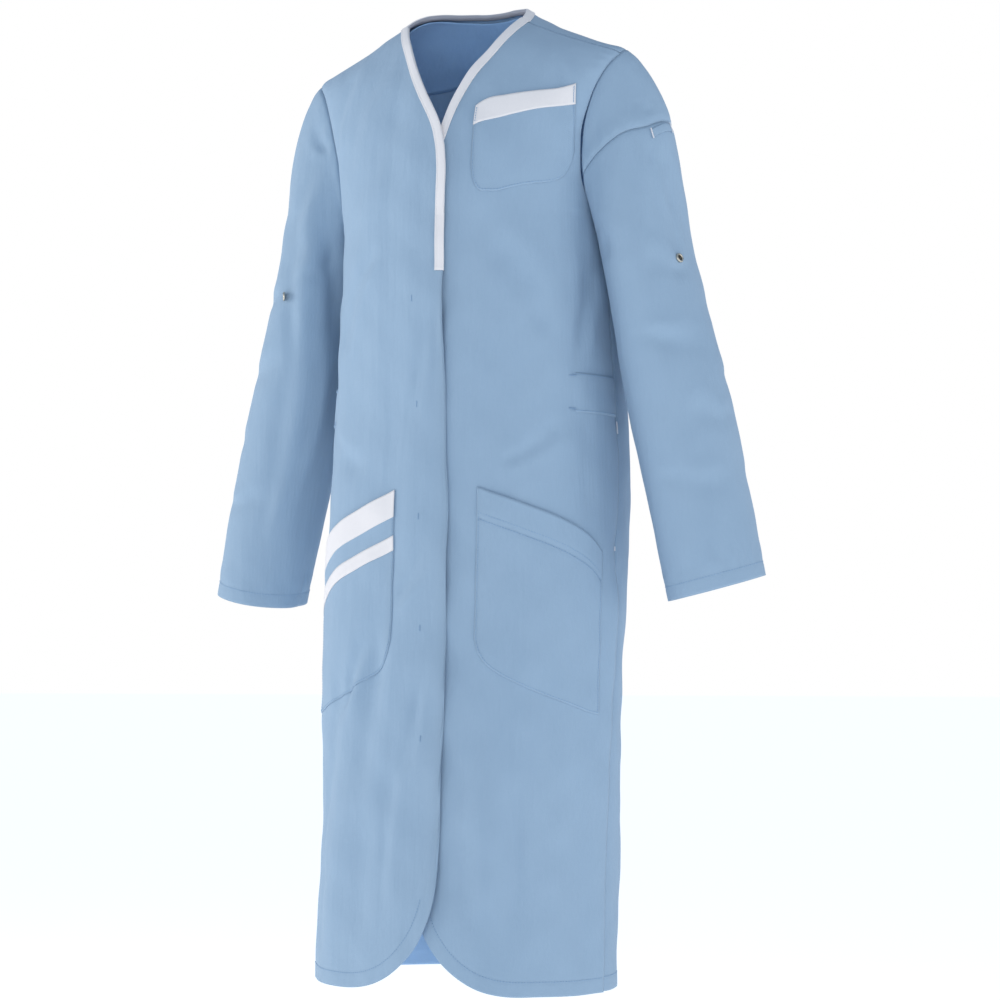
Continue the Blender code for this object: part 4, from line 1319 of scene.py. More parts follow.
@dataclass
class Sleeve:
    """A set-in sleeve.

    Attributes:
        arm: The bare sleeve.
        drape: Its creases, laid on the wearer's left sleeve's form.
        side: +1 for the wearer's left sleeve, -1 for the right one.
        columns: Points round it.
        head_rows: Rows from the armhole to the first ring.
        arm_rows: Rows from there to the cuff.
    """

    arm: ArmForm
    drape: Drape
    side: int
    columns: int = 96
    head_rows: int = 42
    arm_rows: int = 92

    @property
    def mirror(self) -> Array:
        """Puts points made for the wearer's left on this sleeve's side."""
        return np.array([self.side, 1.0, 1.0])

    def sewing(self, turn: Array, travel: Array) -> Array:
        """Sleeve head, underarm seam and cuff as the sewing draws them in."""
        from_cuff = (2 - travel) * ARM_RUN
        pucker = np.sin(turn * 0.42 + 2.2 * np.sin(turn * 0.11))
        move = 0.0003 * (1 - ease((from_cuff - CUFF_TURNED + 0.001) / 0.003))
        move = move - 0.0005 * bump(from_cuff - CUFF_TURNED, 0.0018) * (0.7 + 0.3 * pucker)
        move = move + 0.0009 * bump(from_cuff - CUFF_TURNED * 1.9, 0.010) * pucker
        head = travel * HEAD_RUN
        round_head = np.sin(turn * 0.75 + 1.3)
        drawn_in, full = (0.0008, 0.0012) if self.side < 0 else (0.0004, 0.0006)
        move = move - drawn_in * bump(head, 0.0026)
        move = move + full * bump(head - 0.009, 0.007) * (0.75 + 0.25 * round_head)
        under = np.minimum(turn, 180 - turn) * TURN_RUN
        return move - 0.0010 * bump(under, 0.0028)

    def cross(self, turn: Array, travel: Array) -> Array:
        """The seam across the wearer's left sleeve, with the cloth drawn in along it."""
        if self.side < 0:
            return 0 * turn
        away = (travel - self.seam_travel(turn)) * HEAD_RUN
        ripple = np.sin(turn * 0.62 + 1.5 * np.sin(turn * 0.17))
        inside = ease((turn - CROSS_TURNS[0]) / 6) * ease((CROSS_TURNS[1] - turn) / 6)
        move = -0.0012 * bump(away, 0.0028)
        move = move + 0.0011 * bump(away + 0.009, 0.008) * (0.5 + 0.5 * ripple)
        return inside * move

    @staticmethod
    def seam_travel(turn: Array) -> Array:
        """Where the cross seam lies at each turn."""
        turn = np.asarray(turn, float)
        low, high = CROSS_TURNS
        start = np.interp(turn, [low - 5.0, low], [0.0, 0.030])
        end = np.interp(turn, [high, high + 5.0], [0.030, 0.0])
        inside = (turn >= low) & (turn <= high)
        return np.where(inside, CROSS_SEAM.read("travel", turn), np.where(turn < 90, start, end))

    def at(self, turn: Array, travel: Array, lift: Array | float = 0.0) -> tuple[Array, Array]:
        """The creased sleeve.

        Args:
            turn: Turn round the armhole.
            travel: 0 at the armhole, 1 at the first ring, 2 at the cuff.
            lift: How far off the cloth.

        Returns:
            The points, and the way out of the cloth at each.
        """
        turn, travel = paired(turn, travel)
        here, out = self.arm.bare(turn, travel), self.arm.out(turn, travel)
        move = self.drape.relief(here, out) + self.sewing(turn, travel) + self.cross(turn, travel)
        return (here + out * (move + lift)[..., None]) * self.mirror, out * self.mirror

    def rows(self, turns: Array, start: Array | float, stop: Array | float, count: int) -> Array:
        """Rows of points between two travels."""
        share = np.linspace(0, 1, count + 1)[:, None]
        travel = start + (stop - start) * share + 0 * turns[None]
        return self.at(turns[None] + 0 * travel, travel)[0]

    def cuff_stitches(self) -> tuple[Array, Array]:
        """The line of sewing round the cuff."""
        turns = np.linspace(0, 180, 500)
        return self.at(turns, 2 - CUFF_TURNED / ARM_RUN + 0 * turns)

    def build(self, shop: Workshop) -> None:
        """Makes the sleeve, whole on the wearer's right and in two pieces on the left."""
        turns, left = self.arm.even_turns(self.columns), self.side > 0
        start = self.seam_travel(turns) + 0.0003 if left else 0.0
        head = self.rows(turns, start, 1.0, self.head_rows)
        arm = self.rows(turns, 1.0, CUFF_START, self.arm_rows)
        cuff = self.at(turns[None], np.linspace(CUFF_START, 2.0, 16)[:, None])[0]
        grid = np.concatenate([head, arm[1:], cuff[1:]])
        name = "sleeve_left_lower" if left else "sleeve_right"
        tube = shop.cloth(name + "_cloth", grid, BLUE, [name], ring=True, flip=left)
        if left:
            inside = turns[(turns > CROSS_TURNS[0]) & (turns < CROSS_TURNS[1])]
            above = np.concatenate([CROSS_TURNS[:1], inside, CROSS_TURNS[1:]])
            crown = self.rows(above, 0.0, self.seam_travel(above) - 0.0003, 26)
            upper = shop.cloth(
                "sleeve_left_upper_cloth", crown, BLUE, ["sleeve_left_upper"], flip=True
            )
        side = "left" if left else "right"
        shop.stitches(f"sleeve_{side}_cuff_stitching", [self.cuff_stitches()], BLUE_THREAD)


# ---- what lies on the panels

@dataclass
class HipPocket:
    """A patch pocket on a front's hip; the right one carries two white bands."""

    front: Front
    wide_band: tuple[float, float] = (0.000, 0.029)
    narrow_band: tuple[float, float] = (0.049, 0.065)
    hem_rows: tuple[float, float] = (0.0265, 0.0335)
    columns: int = 54
    rows: int = 64

    def raised(
        self, across: Array, level: Array, lift: Array | float = PATCH_LIFT
    ) -> tuple[Array, Array]:
        """The pocket's face, which stands off the front: pressed at its edges, open at its mouth.

        Args:
            across: Distance in from its front edge.
            level: Height.
            lift: How far off the front it lies where it is pressed.

        Returns:
            The points, and the way out of the cloth at each.
        """
        top, bottom = HIP_POCKET.read("top", across), HIP_POCKET.read("bottom", across)
        far = HIP_POCKET_WIDTH - across
        edge = np.minimum(np.minimum(across, far), level - bottom)
        mouth = bump(top - level, 0.030) * ease(across / 0.03) * ease(far / 0.02)
        sewn = -0.0002 * bump(edge - 0.0020, 0.0012)
        rise = lift + (POCKET_PUFF * ease(edge / 0.016) + MOUTH_PUFF * mouth + sewn)
        start = HIP_POCKET_IN + self.front.side * float(SWING.read("swing", -0.60))
        return self.front.low(start + across, level, rise)

    def patch(self, span: tuple[float, float] | None, lift: float, rows: int) -> Array:
        """The pocket, or a band across it.

        Args:
            span: Two distances below its top edge, or None for the whole pocket.
            lift: How far off the front.
            rows: Rows of points.

        Returns:
            A grid of points.
        """
        width = HIP_POCKET_WIDTH
        share = np.linspace(0, 1, self.columns)
        across = width * (0.5 - 0.5 * np.cos(math.pi * share)) * 0.35 + width * share * 0.65
        top, bottom = HIP_POCKET.read("top", across), HIP_POCKET.read("bottom", across)
        low = bottom if span is None else top - span[1]
        high = top if span is None else top - span[0]
        level = low + (high - low) * np.linspace(0, 1, rows)[:, None]
        fold = 0.0005 * (1 - ease((top - level - 0.029) / 0.003)) if span is None else 0.0
        if span is None and self.front.side > 0:
            for row in self.hem_rows:
                fold = fold - 0.0005 * bump(top - level - row, 0.0012)
        return self.raised(across + 0 * level, level, lift + fold)[0]

    def edge_line(self, inset: float, down: float) -> tuple[Array, Array]:
        """The line that sews the pocket down, from one end of its mouth to the other."""
        width = HIP_POCKET_WIDTH
        at = np.linspace(0, width, 120)
        bottom = HIP_POCKET.read("bottom", at)
        tops = HIP_POCKET.read("top", np.array([0.0, width])) - down
        left = np.stack([np.zeros(60), np.linspace(tops[0], bottom[0], 60)], axis=1)
        right = np.stack([np.full(60, width), np.linspace(bottom[-1], tops[1], 60)], axis=1)
        path = np.concatenate([left[:-1], np.stack([at, bottom], axis=1), right[1:]])
        way = unit(np.gradient(path, axis=0))
        for _ in range(6):
            way[1:-1] = unit(way[:-2] + way[1:-1] + way[2:])
        path = path + np.stack([-way[:, 1], way[:, 0]], axis=1) * inset
        return self.raised(np.clip(path[:, 0], inset * 0.8, width - inset * 0.8), path[:, 1])

    def build(self, shop: Workshop) -> None:
        """Makes the pocket, its bands and its sewing."""
        side, flip = self.front.label, self.front.side < 0
        name = f"hip_pocket_{side}"
        pocket = shop.cloth(
            name + "_cloth", self.patch(None, PATCH_LIFT, self.rows), BLUE, [name], PATCH_WALL,
            flip=flip,
        )
        lines = [self.edge_line(0.0020, 0.001)]
        if self.front.side > 0:
            across = np.linspace(0.002, HIP_POCKET_WIDTH - 0.002, 160)
            top = HIP_POCKET.read("top", across)
            lines += [self.raised(across, top - row) for row in self.hem_rows]
        else:
            for label, span, rows in (("wide", self.wide_band, 14), ("narrow", self.narrow_band, 8)):
                band = shop.cloth(
                    f"hip_band_{label}_cloth", self.patch(span, PATCH_LIFT + BAND_LIFT, rows),
                    WHITE, [f"hip_band_{label}"], PATCH_WALL, flip=flip,
                )
        shop.stitches(name + "_stitching", lines, BLUE_THREAD)


@dataclass
class ChestPocket:
    """The patch pocket on the wearer's left chest, with a white band along its mouth."""

    front: Front
    flare: float = 0.0045
    columns: int = 46
    rows: int = 50

    def spread(self, x: Array, turn: Array) -> Array:
        """Where a point of the pocket lies once its outer edge has flared."""
        return x + self.flare * ease((x - 0.08) / 0.07) * np.clip((turn - 14) / 18, 0, 1)

    def patch(self, low: str, lift: float, rows: int) -> Array:
        """The pocket or its band, from one of its named edges to its top."""
        x = np.linspace(CHEST_POCKET.rows[0][0], CHEST_POCKET.rows[-1][0], self.columns)
        bottom, top = CHEST_POCKET.read(low, x), CHEST_POCKET.read("top", x)
        turn = bottom + (top - bottom) * np.linspace(0, 1, rows)[:, None]
        edge = np.minimum(x - x[0], x[-1] - x) + 0 * turn
        below = (turn - CHEST_POCKET.read("bottom", x)) * CHEST_RUN
        inner = ease(np.minimum(edge, below) / 0.014)
        mouth = bump((top - turn) * CHEST_RUN, 0.022) * ease(edge / 0.02)
        rise = lift + POCKET_PUFF * inner + MOUTH_PUFF * mouth
        return self.front.high(self.spread(x, turn), turn, rise)[0]

    def build(self, shop: Workshop) -> None:
        """Makes the pocket, its band and its sewing."""
        grid = self.patch("bottom", PATCH_LIFT, self.rows)
        pocket = shop.cloth("chest_pocket_cloth", grid, BLUE, ["chest_pocket"], PATCH_WALL)
        band = shop.cloth(
            "chest_pocket_band_cloth", self.patch("band", PATCH_LIFT + BAND_LIFT, 12), WHITE,
            ["chest_pocket_band"], PATCH_WALL,
        )
        out = np.array([0.25, -0.95, 0.2])
        loop = np.concatenate([grid[::-1, 0], grid[0, 1:-1], grid[:, -1]])
        inward = unit(grid[self.rows // 2, self.columns // 2] - loop)
        line = loop + inward * 0.0020 + out * 0.0002
        shop.stitches(
            "chest_pocket_stitching", [(line, np.tile(unit(out), (len(loop), 1)))], BLUE_THREAD
        )
        ends = []
        for x in (CHEST_POCKET.rows[0][0] + 0.0016, CHEST_POCKET.rows[-1][0] - 0.0016):
            low, high = CHEST_POCKET.read("band", x) + 0.3, CHEST_POCKET.read("top", x) - 0.3
            turn = np.linspace(low, high, 20)
            ends.append(self.front.high(self.spread(x, turn), turn, PATCH_LIFT + 0.0012))
        shop.stitches("chest_band_stitching", ends, BLUE_THREAD)


@dataclass
class WaistTab:
    """The tab at the waist, sewn down at its front end and caught in the side seam."""

    front: Front

    def build(self, shop: Workshop) -> None:
        """Makes the tab and its sewing."""
        height = np.linspace(TAB_BOTTOM, TAB_TOP, 16)[:, None]
        reach = self.front.body.side_distance(height) - TAB_FRONT - 0.0005
        share = np.linspace(0, 1, 34)[None]
        across = TAB_FRONT + reach * share
        edge = np.minimum(np.minimum(across - TAB_FRONT, height - TAB_BOTTOM), TAB_TOP - height)
        flush = 1 - ease((across - TAB_FRONT) / 0.020)
        rise = PATCH_LIFT - 0.0002 + 0.0004 * ease(edge / 0.010) - 0.0013 * flush
        grid = self.front.low(across, height + 0 * across, rise)[0]
        name = f"waist_tab_{self.front.label}"
        tab = shop.cloth(name + "_cloth", grid, BLUE, [name], PATCH_WALL, flip=self.front.side < 0)
        inset = 0.0022
        along = np.linspace(TAB_FRONT + inset, float(reach.mean()) + TAB_FRONT - 0.002, 80)
        lines = [
            self.front.low(along, level + 0 * along, PATCH_LIFT + 0.0002)
            for level in (TAB_TOP - inset, TAB_BOTTOM + inset)
        ]
        shop.stitches(name + "_stitching", lines, BLUE_THREAD)


@dataclass
class PenWelt:
    """The welt of the pen pocket, just under the cross seam on the outer left arm."""

    sleeve: Sleeve

    def build(self, shop: Workshop) -> None:
        """Makes the welt."""
        turns = np.linspace(*WELT_TURNS, 34)[None]
        travel = np.linspace(*WELT_TRAVEL, 10)[:, None]
        edge = np.minimum(turns - WELT_TURNS[0], WELT_TURNS[1] - turns) * TURN_RUN
        rise = PATCH_LIFT + 0.0006 * ease(edge / 0.01) + 0 * travel
        grid = self.sleeve.at(turns + 0 * travel, travel + 0 * turns, rise)[0]
        welt = shop.cloth(
            "pen_pocket_welt_cloth", grid, BLUE, ["pen_pocket_welt"], PATCH_WALL, flip=True
        )


@dataclass
class NeckFacing:
    """The half-moon facing inside the back neck."""

    back: Back

    def build(self, shop: Workshop) -> None:
        """Makes the facing."""
        x = np.linspace(-0.98, 0.98, 90) * FACING_HALF
        top = self.back.top_turn(x / ARMHOLE.read("x", SEAM_TURN)) + 3.0
        low = (
            SEAM_TURN + 6
            + (FACING_LOW_TURN - SEAM_TURN - 6) * np.sqrt(1 - (x / FACING_HALF) ** 4)
        )
        low = np.maximum(low, top + 4)
        part = np.linspace(0, 1, 34)[:, None]
        off = WALL + 0.0006 + (FACING_GAP - 0.0006) * ease(part / 0.22)
        grid = self.back.high(x + 0 * part, low + (top - low) * part, -off)[0]
        # The facing is painted paler and bluer than the back it lies on: painted light inside the
        # neck.
        facing = shop.cloth(
            "back_neck_facing_cloth", grid, FACING_PAINTED_LIGHT, ["back_neck_facing"], PATCH_WALL, flip=True
        )


@dataclass
class NeckBinding:
    """The white binding, folded over the neck edge and down the front that laps."""

    left: Front
    right: Front
    back: Back
    width: float = BINDING_WIDTH

    def path(self) -> tuple[Array, Array, Array]:
        """The neck edge as points, with the way into the cloth and out of it at each."""
        edges, inners, outers = [], [], []

        def add(take: Callable[[float, float], Array]) -> None:
            edges.append(take(0.0, 0.0))
            inners.append(take(0.002, 0.0))
            outers.append(take(0.0, 0.002))

        def front(panel: Front, turns: Array) -> None:
            x = NECKLINE.read(panel.label, turns)
            add(lambda step, lift: panel.high(x + step, turns, lift)[0])

        front(self.left, np.linspace(8.0, SEAM_TURN - 0.03, 76))
        neck = float(NECK_HALF / ARMHOLE.read("x", SEAM_TURN))
        share = neck * np.sin(np.linspace(math.pi / 2, -math.pi / 2, 90))
        turn = Back.top_turn(share)
        x, round_neck = share * ARMHOLE.read("x", turn), share / neck
        down = 0.8 * np.sqrt(np.clip(1 - round_neck**2, 0, 1))
        add(lambda step, lift: self.back.high(
            x + step * round_neck, turn + down * step / 0.002, lift)[0])
        front(self.right, np.linspace(SEAM_TURN - 0.03, 0.0, 84))
        height = np.linspace(UNDERARM, BINDING_END, 30)[1:]
        edge = -self.right.lap(height)
        add(lambda step, lift: self.right.low(edge + step, height, lift)[0])
        points = np.concatenate(edges)
        return points, np.concatenate(inners) - points, np.concatenate(outers) - points

    def build(self, shop: Workshop) -> None:
        """Makes the binding and the sewing along it."""
        points, ways_in, ways_out = self.path()
        keep = np.concatenate([[True], np.linalg.norm(np.diff(points, axis=0), axis=1) > 0.0004])
        behind = np.zeros(len(points), bool)
        behind[BEHIND_NECK] = True
        points, ways_in, ways_out = points[keep], ways_in[keep], ways_out[keep]
        behind = behind[keep]
        along = unit(np.gradient(points, axis=0))
        ways_in = unit(ways_in - along * np.sum(ways_in * along, axis=1, keepdims=True))
        ways_out = ways_out - along * np.sum(ways_out * along, axis=1, keepdims=True)
        ways_out = unit(ways_out - ways_in * np.sum(ways_out * ways_in, axis=1, keepdims=True))
        for _ in range(4):
            for ways in (ways_in, ways_out):
                ways[1:-1] = unit(ways[:-2] + 2 * ways[1:-1] + ways[2:])
        wide = self.width
        profile = (
            (wide, 0.0002), (wide, 0.0009), (wide - 0.0003, 0.0012), (wide * 0.88, 0.00125),
            (wide * 0.83, 0.0010), (wide * 0.78, 0.00125), (wide * 0.45, 0.0013), (0.0006, 0.0013),
            (-0.0003, 0.0012), (-0.0008, 0.0008), (-0.0009, 0.0), (-0.0008, -0.0018),
            (-0.0003, -0.0027), (0.0006, -0.0030), (wide * 0.5, -0.0030), (wide * 0.9, -0.0030),
        )
        at_back = ((points[:, 1] > 0) & (points[:, 2] > 0))[:, None]
        drop = np.where(at_back, -0.0009, 0.0)
        short = np.where(at_back, 0.50, 1.0)
        grid = np.array([
            points + ways_in * (a * short if a > 0.001 and b < -0.002 else a)
            + ways_out * (b + drop * (b < -0.002))
            for a, b in profile
        ])
        binding = shop.cloth("neck_binding_cloth", grid, WHITE, ["neck_binding"], 0.0006)
        # The binding's inner flap behind the neck takes the grey copy of the white: painted shade.
        binding.data.materials.append(WHITE_PAINTED_SHADE.material(shop.shelf))
        strips = grid.shape[1] - 1
        for face in binding.data.polygons:
            row, column = divmod(face.index, strips)
            if row >= BINDING_TURN and behind[column]:
                face.material_index = 1
        line = points + ways_in * wide * 0.83 + ways_out * 0.0011
        shop.stitches("neck_binding_stitching", [(line, ways_out)], WHITE_THREAD, thick=0.00032)


@dataclass
class SleeveSnap:
    """A press snap on a sleeve: a rolled metal ring round a dark socket."""

    sleeve: Sleeve
    turn: float
    travel: float = 1.01
    tilt: float = 0.0
    radius: float = SNAP_RADIUS

    def build(self, shop: Workshop) -> None:
        """Makes the snap's ring and socket."""
        spot = np.array(self.turn), np.array(self.travel)
        foot, out = self.sleeve.arm.bare(*spot), self.sleeve.arm.out(*spot)
        foot = (foot + out * (SNAP_STAND + 0.0022 * self.tilt)) * self.sleeve.mirror
        face = unit(out * (1 - self.tilt) + np.array([0.94, -0.10, 0.0]) * self.tilt)
        spin = np.array(Vector(face * self.sleeve.mirror).to_track_quat("Z", "Y").to_matrix())
        name = "snap_left" if self.sleeve.side > 0 else "snap_right"
        for label, profile, finish in (
            ("ring", SNAP_RING, NICKEL), ("socket", SNAP_SOCKET, SOCKET)
        ):
            points, faces = self.turned(profile, closed=label == "socket")
            shop.piece(
                f"{name}_{label}", points @ spin.T + foot, faces, finish,
                [name] if label == "ring" else [],
            )

    def turned(
        self, profile: Sequence[tuple[float, float]], closed: bool
    ) -> tuple[Array, list[tuple[int, ...]]]:
        """Turns a profile round the snap's axis.

        Args:
            profile: Radius and height of each rim, as shares of the snap's.
            closed: Whether the last rim is a point.

        Returns:
            The points and the faces.
        """
        count = SNAP_SIDES
        points: list[tuple[float, float, float]] = []
        rims = profile[:-1] if closed else profile
        for radius, height in rims:
            for k in range(count):
                angle = 2 * math.pi * k / count
                points.append((
                    radius * self.radius * math.cos(angle),
                    radius * self.radius * math.sin(angle),
                    height * SNAP_HEIGHT,
                ))
        faces = strip_faces(len(rims), count)
        if closed:
            points.append((0.0, 0.0, profile[-1][1] * SNAP_HEIGHT))
            last = (len(rims) - 1) * count
            faces += [(last + k, last + (k + 1) % count, len(points) - 1) for k in range(count)]
        return np.array(points), faces


# ---- bartacks and tacks

@dataclass
class Bartacks:
    """Short dense bars of thread that hold the ends of seams and openings."""

    left: Front
    right: Front
    sleeve: Sleeve

    @staticmethod
    def bar(
        start: Array, end: Array, out: Array, wide: float
    ) -> tuple[Array, Array, Array]:
        """Threads laid across a line from start to end."""
        count = max(3, int(np.linalg.norm(end - start) / BAR_PITCH))
        at = np.linspace(0, 1, count)[:, None]
        middle = start + (end - start) * at
        way = unit(np.cross(end - start, out)) * wide
        slant = unit(end - start) * BAR_PITCH * 0.6
        return middle - way / 2, np.tile(way + slant, (count, 1)), np.tile(out, (count, 1))

    def build(self, shop: Workshop) -> None:
        """Makes the white bars and the blue ones."""
        white, blue = [], []

        def on_front(
            front: Front, start: tuple[float, float], end: tuple[float, float], lift: float,
            wide: float, into: list,
        ) -> None:
            points, outs = front.low(*np.array([start, end]).T, lift)
            into.append(self.bar(points[0], points[1], unit(outs.mean(axis=0)), wide))

        for front in (self.left, self.right):
            seam = float(front.body.side_distance(np.array(OPENING_TOP)))
            on_front(front, (seam - 0.0018, -0.446), (seam - 0.0018, -0.459), 0.0016, 0.0030, white)
            dot = float(front.body.side_distance(np.array(-0.584))) - 0.0035
            on_front(front, (dot, -0.582), (dot, -0.586), 0.0010, 0.0030, white)
            for level in (TAB_TOP - 0.004, TAB_BOTTOM + 0.004):
                on_front(front, (TAB_FRONT, level), (TAB_FRONT + 0.008, level), PATCH_LIFT, 0.0014,
                         blue)
        for across, level in (
            (0.0135, -0.317), (0.0085, -0.430), (0.0025, -0.551), (-0.0015, -0.670),
            (-0.0070, -0.787),
        ):
            on_front(self.right, (across, level + 0.003), (across, level - 0.003), 0.0001, 0.0012,
                     blue)
        for turn in (WELT_TURNS[0] + 0.6, WELT_TURNS[1] - 0.6):
            travel = np.array([WELT_TRAVEL[0] - 0.006, WELT_TRAVEL[1] + 0.004])
            points, outs = self.sleeve.at(turn + 0 * travel, travel, PATCH_LIFT + 0.0008)
            white.append(self.bar(points[0], points[1], unit(outs.mean(axis=0)), 0.0018))
        for name, bars, thread in (
            ("white_bartacks", white, WHITE_THREAD), ("blue_bartacks", blue, BLUE_THREAD)
        ):
            start, way, out = (np.vstack([bar[k] for bar in bars]) for k in range(3))
            shop.threads(name, start, way, out, thread, 0.00036)


# ---- the studio

@dataclass
class Studio:
    """A pale floor, soft lights and the camera."""

    floor_height: float = -1.42
    turn: float = 28.0
    distance: float = 2.5
    camera_height: float = -0.725

    def build(self) -> None:
        """Sets up the floor, the lights, the world and the camera."""
        self.floor()
        self.world()
        self.lights()
        self.camera()
        bpy.context.scene.view_settings.view_transform = "Standard"

    def floor(self) -> None:
        """A plain pale floor."""
        size = 90.0
        mesh = bpy.data.meshes.new("studio_floor")
        corners = [(-size, -size), (size, -size), (size, size), (-size, size)]
        mesh.from_pydata([(x, y, self.floor_height) for x, y in corners], [], [(0, 1, 2, 3)])
        floor = bpy.data.objects.new("studio_floor", mesh)
        bpy.context.scene.collection.objects.link(floor)
        paint, _, shader = new_material("pale_floor")
        shader.inputs["Base Color"].default_value = (0.93, 0.93, 0.93, 1.0)
        shader.inputs["Roughness"].default_value = 0.9
        shader.inputs["Emission Color"].default_value = (1.0, 1.0, 1.0, 1.0)
        shader.inputs["Emission Strength"].default_value = 0.62
        mesh.materials.append(paint)

    @staticmethod
    def world() -> None:
        """White surroundings, softer as a light than they look."""
        world = bpy.data.worlds.new("studio")
        world.use_nodes = True
        tree = world.node_tree
        tree.nodes.clear()
        seen = node(tree, "Background", {"Strength": 1.0, "Color": (1.0, 1.0, 1.0, 1.0)})
        lit = node(tree, "Background", {"Strength": 0.46, "Color": (0.78, 0.965, 1.20, 1.0)})
        path = node(tree, "LightPath", {})
        mix = node(tree, "MixShader", {
            0: path.outputs["Is Camera Ray"], 1: lit.outputs[0], 2: seen.outputs[0],
        })
        node(tree, "OutputWorld", {"Surface": mix.outputs[0]})
        bpy.context.scene.world = world

    @staticmethod
    def lights() -> None:
        """A large key on the viewer's left, a weak fill in front and a side light opposite."""
        for name, place, aim, size, power in (
            ("key", (-2.95, -1.00, 0.10), (0.0, 0.0, -0.38), 1.5, 38.5),
            ("fill", (1.70, -2.45, -0.10), (0.0, 0.0, -0.45), 1.8, 9.9),
            ("side_light", (3.0, -0.25, -0.10), (0.0, 0.0, -0.45), 1.6, 11.0),
        ):
            light = bpy.data.lights.new(name, "AREA")
            light.size = size
            light.energy = power
            light.color = LAMP_COLOUR
            item = bpy.data.objects.new(name, light)
            item.location = place
            item.rotation_euler = (Vector(aim) - Vector(place)).to_track_quat("-Z", "Y").to_euler()
            bpy.context.scene.collection.objects.link(item)

    def camera(self) -> None:
        """The camera, level and off the wearer's left front."""
        camera = bpy.data.cameras.new("camera")
        camera.lens, camera.sensor_width = 81.0, 36.0
        camera.shift_x, camera.shift_y = 0.026, 0.18
        item = bpy.data.objects.new("camera", camera)
        turn = math.radians(self.turn)
        item.location = (
            math.sin(turn) * self.distance, -math.cos(turn) * self.distance, self.camera_height
        )
        item.rotation_euler = (math.radians(90), 0.0, turn)
        bpy.context.scene.collection.objects.link(item)
        bpy.context.scene.camera = item


# ---- laying the creases

# Creases: two measures at one end, the middle and the other end, then half width and depth.
# On the body they are round and height, and the last number says whether the other side
# has the crease's mirror image.
LOW_CREASES = (
    (0.070, -0.250, 0.110, -0.300, 0.140, -0.370, 0.014, 0.0022, 0),
    (-0.060, -0.250, -0.105, -0.300, -0.140, -0.370, 0.014, 0.0022, 0),
    (0.205, -0.265, 0.185, -0.330, 0.170, -0.395, 0.012, 0.0024, 1),
    (0.155, -0.445, 0.120, -0.480, 0.080, -0.500, 0.010, 0.0014, 1),
    (-0.065, -0.655, -0.090, -0.710, -0.120, -0.780, 0.011, 0.0022, 0),
    (-0.050, -0.640, -0.062, -0.740, -0.078, -0.860, 0.015, 0.0024, 0),
    (-0.030, -0.800, -0.034, -0.890, -0.046, -0.980, 0.013, 0.0018, 0),
    (0.050, -0.800, 0.056, -0.890, 0.066, -1.000, 0.014, 0.0020, 0),
    (0.100, -0.800, 0.112, -0.900, 0.118, -1.040, 0.016, 0.0020, 0),
    (0.175, -0.780, 0.186, -0.880, 0.192, -1.040, 0.014, 0.0020, 0),
    (-0.140, -0.800, -0.150, -0.900, -0.156, -1.040, 0.014, 0.0020, 0),
    (0.270, -0.300, 0.300, -0.350, 0.340, -0.390, 0.014, 0.0026, 1),
    (0.290, -0.480, 0.330, -0.500, 0.380, -0.495, 0.013, 0.0020, 1),
    (0.290, -0.600, 0.286, -0.760, 0.280, -0.940, 0.018, 0.0026, 1),
    (0.380, -0.560, 0.385, -0.740, 0.380, -0.980, 0.020, 0.0028, 0),
    (-0.380, -0.600, -0.372, -0.780, -0.366, -1.000, 0.020, 0.0026, 0),
    (0.455, -0.600, 0.462, -0.780, 0.458, -1.030, 0.018, 0.0024, 0),
    (0.021, -0.315, 0.013, -0.352, 0.019, -0.405, 0.0065, 0.0013, 0),
    (0.006, -0.325, -0.004, -0.390, -0.022, -0.465, 0.0090, 0.0012, 0),
    (0.012, -0.560, -0.006, -0.610, -0.040, -0.655, 0.0090, 0.0012, 0),
    (0.012, -0.700, -0.004, -0.770, -0.018, -0.850, 0.0100, 0.0013, 0),
    (0.130, -0.700, 0.150, -0.790, 0.158, -0.900, 0.0120, 0.0014, 0),
    (-0.115, -0.680, -0.128, -0.780, -0.135, -0.900, 0.0120, 0.0015, 0),
)
# On the shoulder arch they are the signed distance out from the centre, and the turn.
HIGH_CREASES = (
    (0.120, 60.0, 0.135, 44.0, 0.142, 26.0, 0.010, 0.0016, 0),
    (-0.120, 60.0, -0.135, 44.0, -0.142, 26.0, 0.010, 0.0018, 0),
    (-0.070, 50.0, -0.100, 34.0, -0.120, 14.0, 0.014, 0.0016, 0),
    (0.060, 44.0, 0.052, 30.0, 0.046, 12.0, 0.010, 0.0010, 0),
    (-0.045, 30.0, -0.060, 18.0, -0.085, 6.0, 0.012, 0.0012, 0),
    (0.110, 104.0, 0.125, 126.0, 0.130, 150.0, 0.016, 0.0022, 1),
    (0.060, 128.0, 0.000, 136.0, -0.060, 128.0, 0.016, 0.0018, 0),
    (0.105, 160.0, 0.075, 170.0, 0.040, 176.0, 0.014, 0.0016, 1),
)
# On a sleeve they are turn and travel.
SLEEVE_CREASES = (
    (30.0, 0.98, 60.0, 1.05, 92.0, 1.02, 0.011, 0.0018),
    (20.0, 1.20, 52.0, 1.28, 86.0, 1.24, 0.012, 0.0022),
    (40.0, 1.46, 72.0, 1.52, 104.0, 1.48, 0.012, 0.0020),
    (16.0, 1.62, 44.0, 1.70, 70.0, 1.68, 0.010, 0.0016),
    (100.0, 1.10, 130.0, 1.18, 156.0, 1.12, 0.013, 0.0024),
    (92.0, 1.34, 124.0, 1.42, 150.0, 1.36, 0.012, 0.0022),
    (100.0, 1.66, 128.0, 1.72, 152.0, 1.66, 0.011, 0.0018),
    (6.0, 0.30, 12.0, 0.62, 20.0, 0.95, 0.013, 0.0024),
    (172.0, 0.30, 166.0, 0.62, 158.0, 0.95, 0.013, 0.0024),
    (118.0, 0.35, 126.0, 0.62, 138.0, 0.90, 0.012, 0.0020),
)
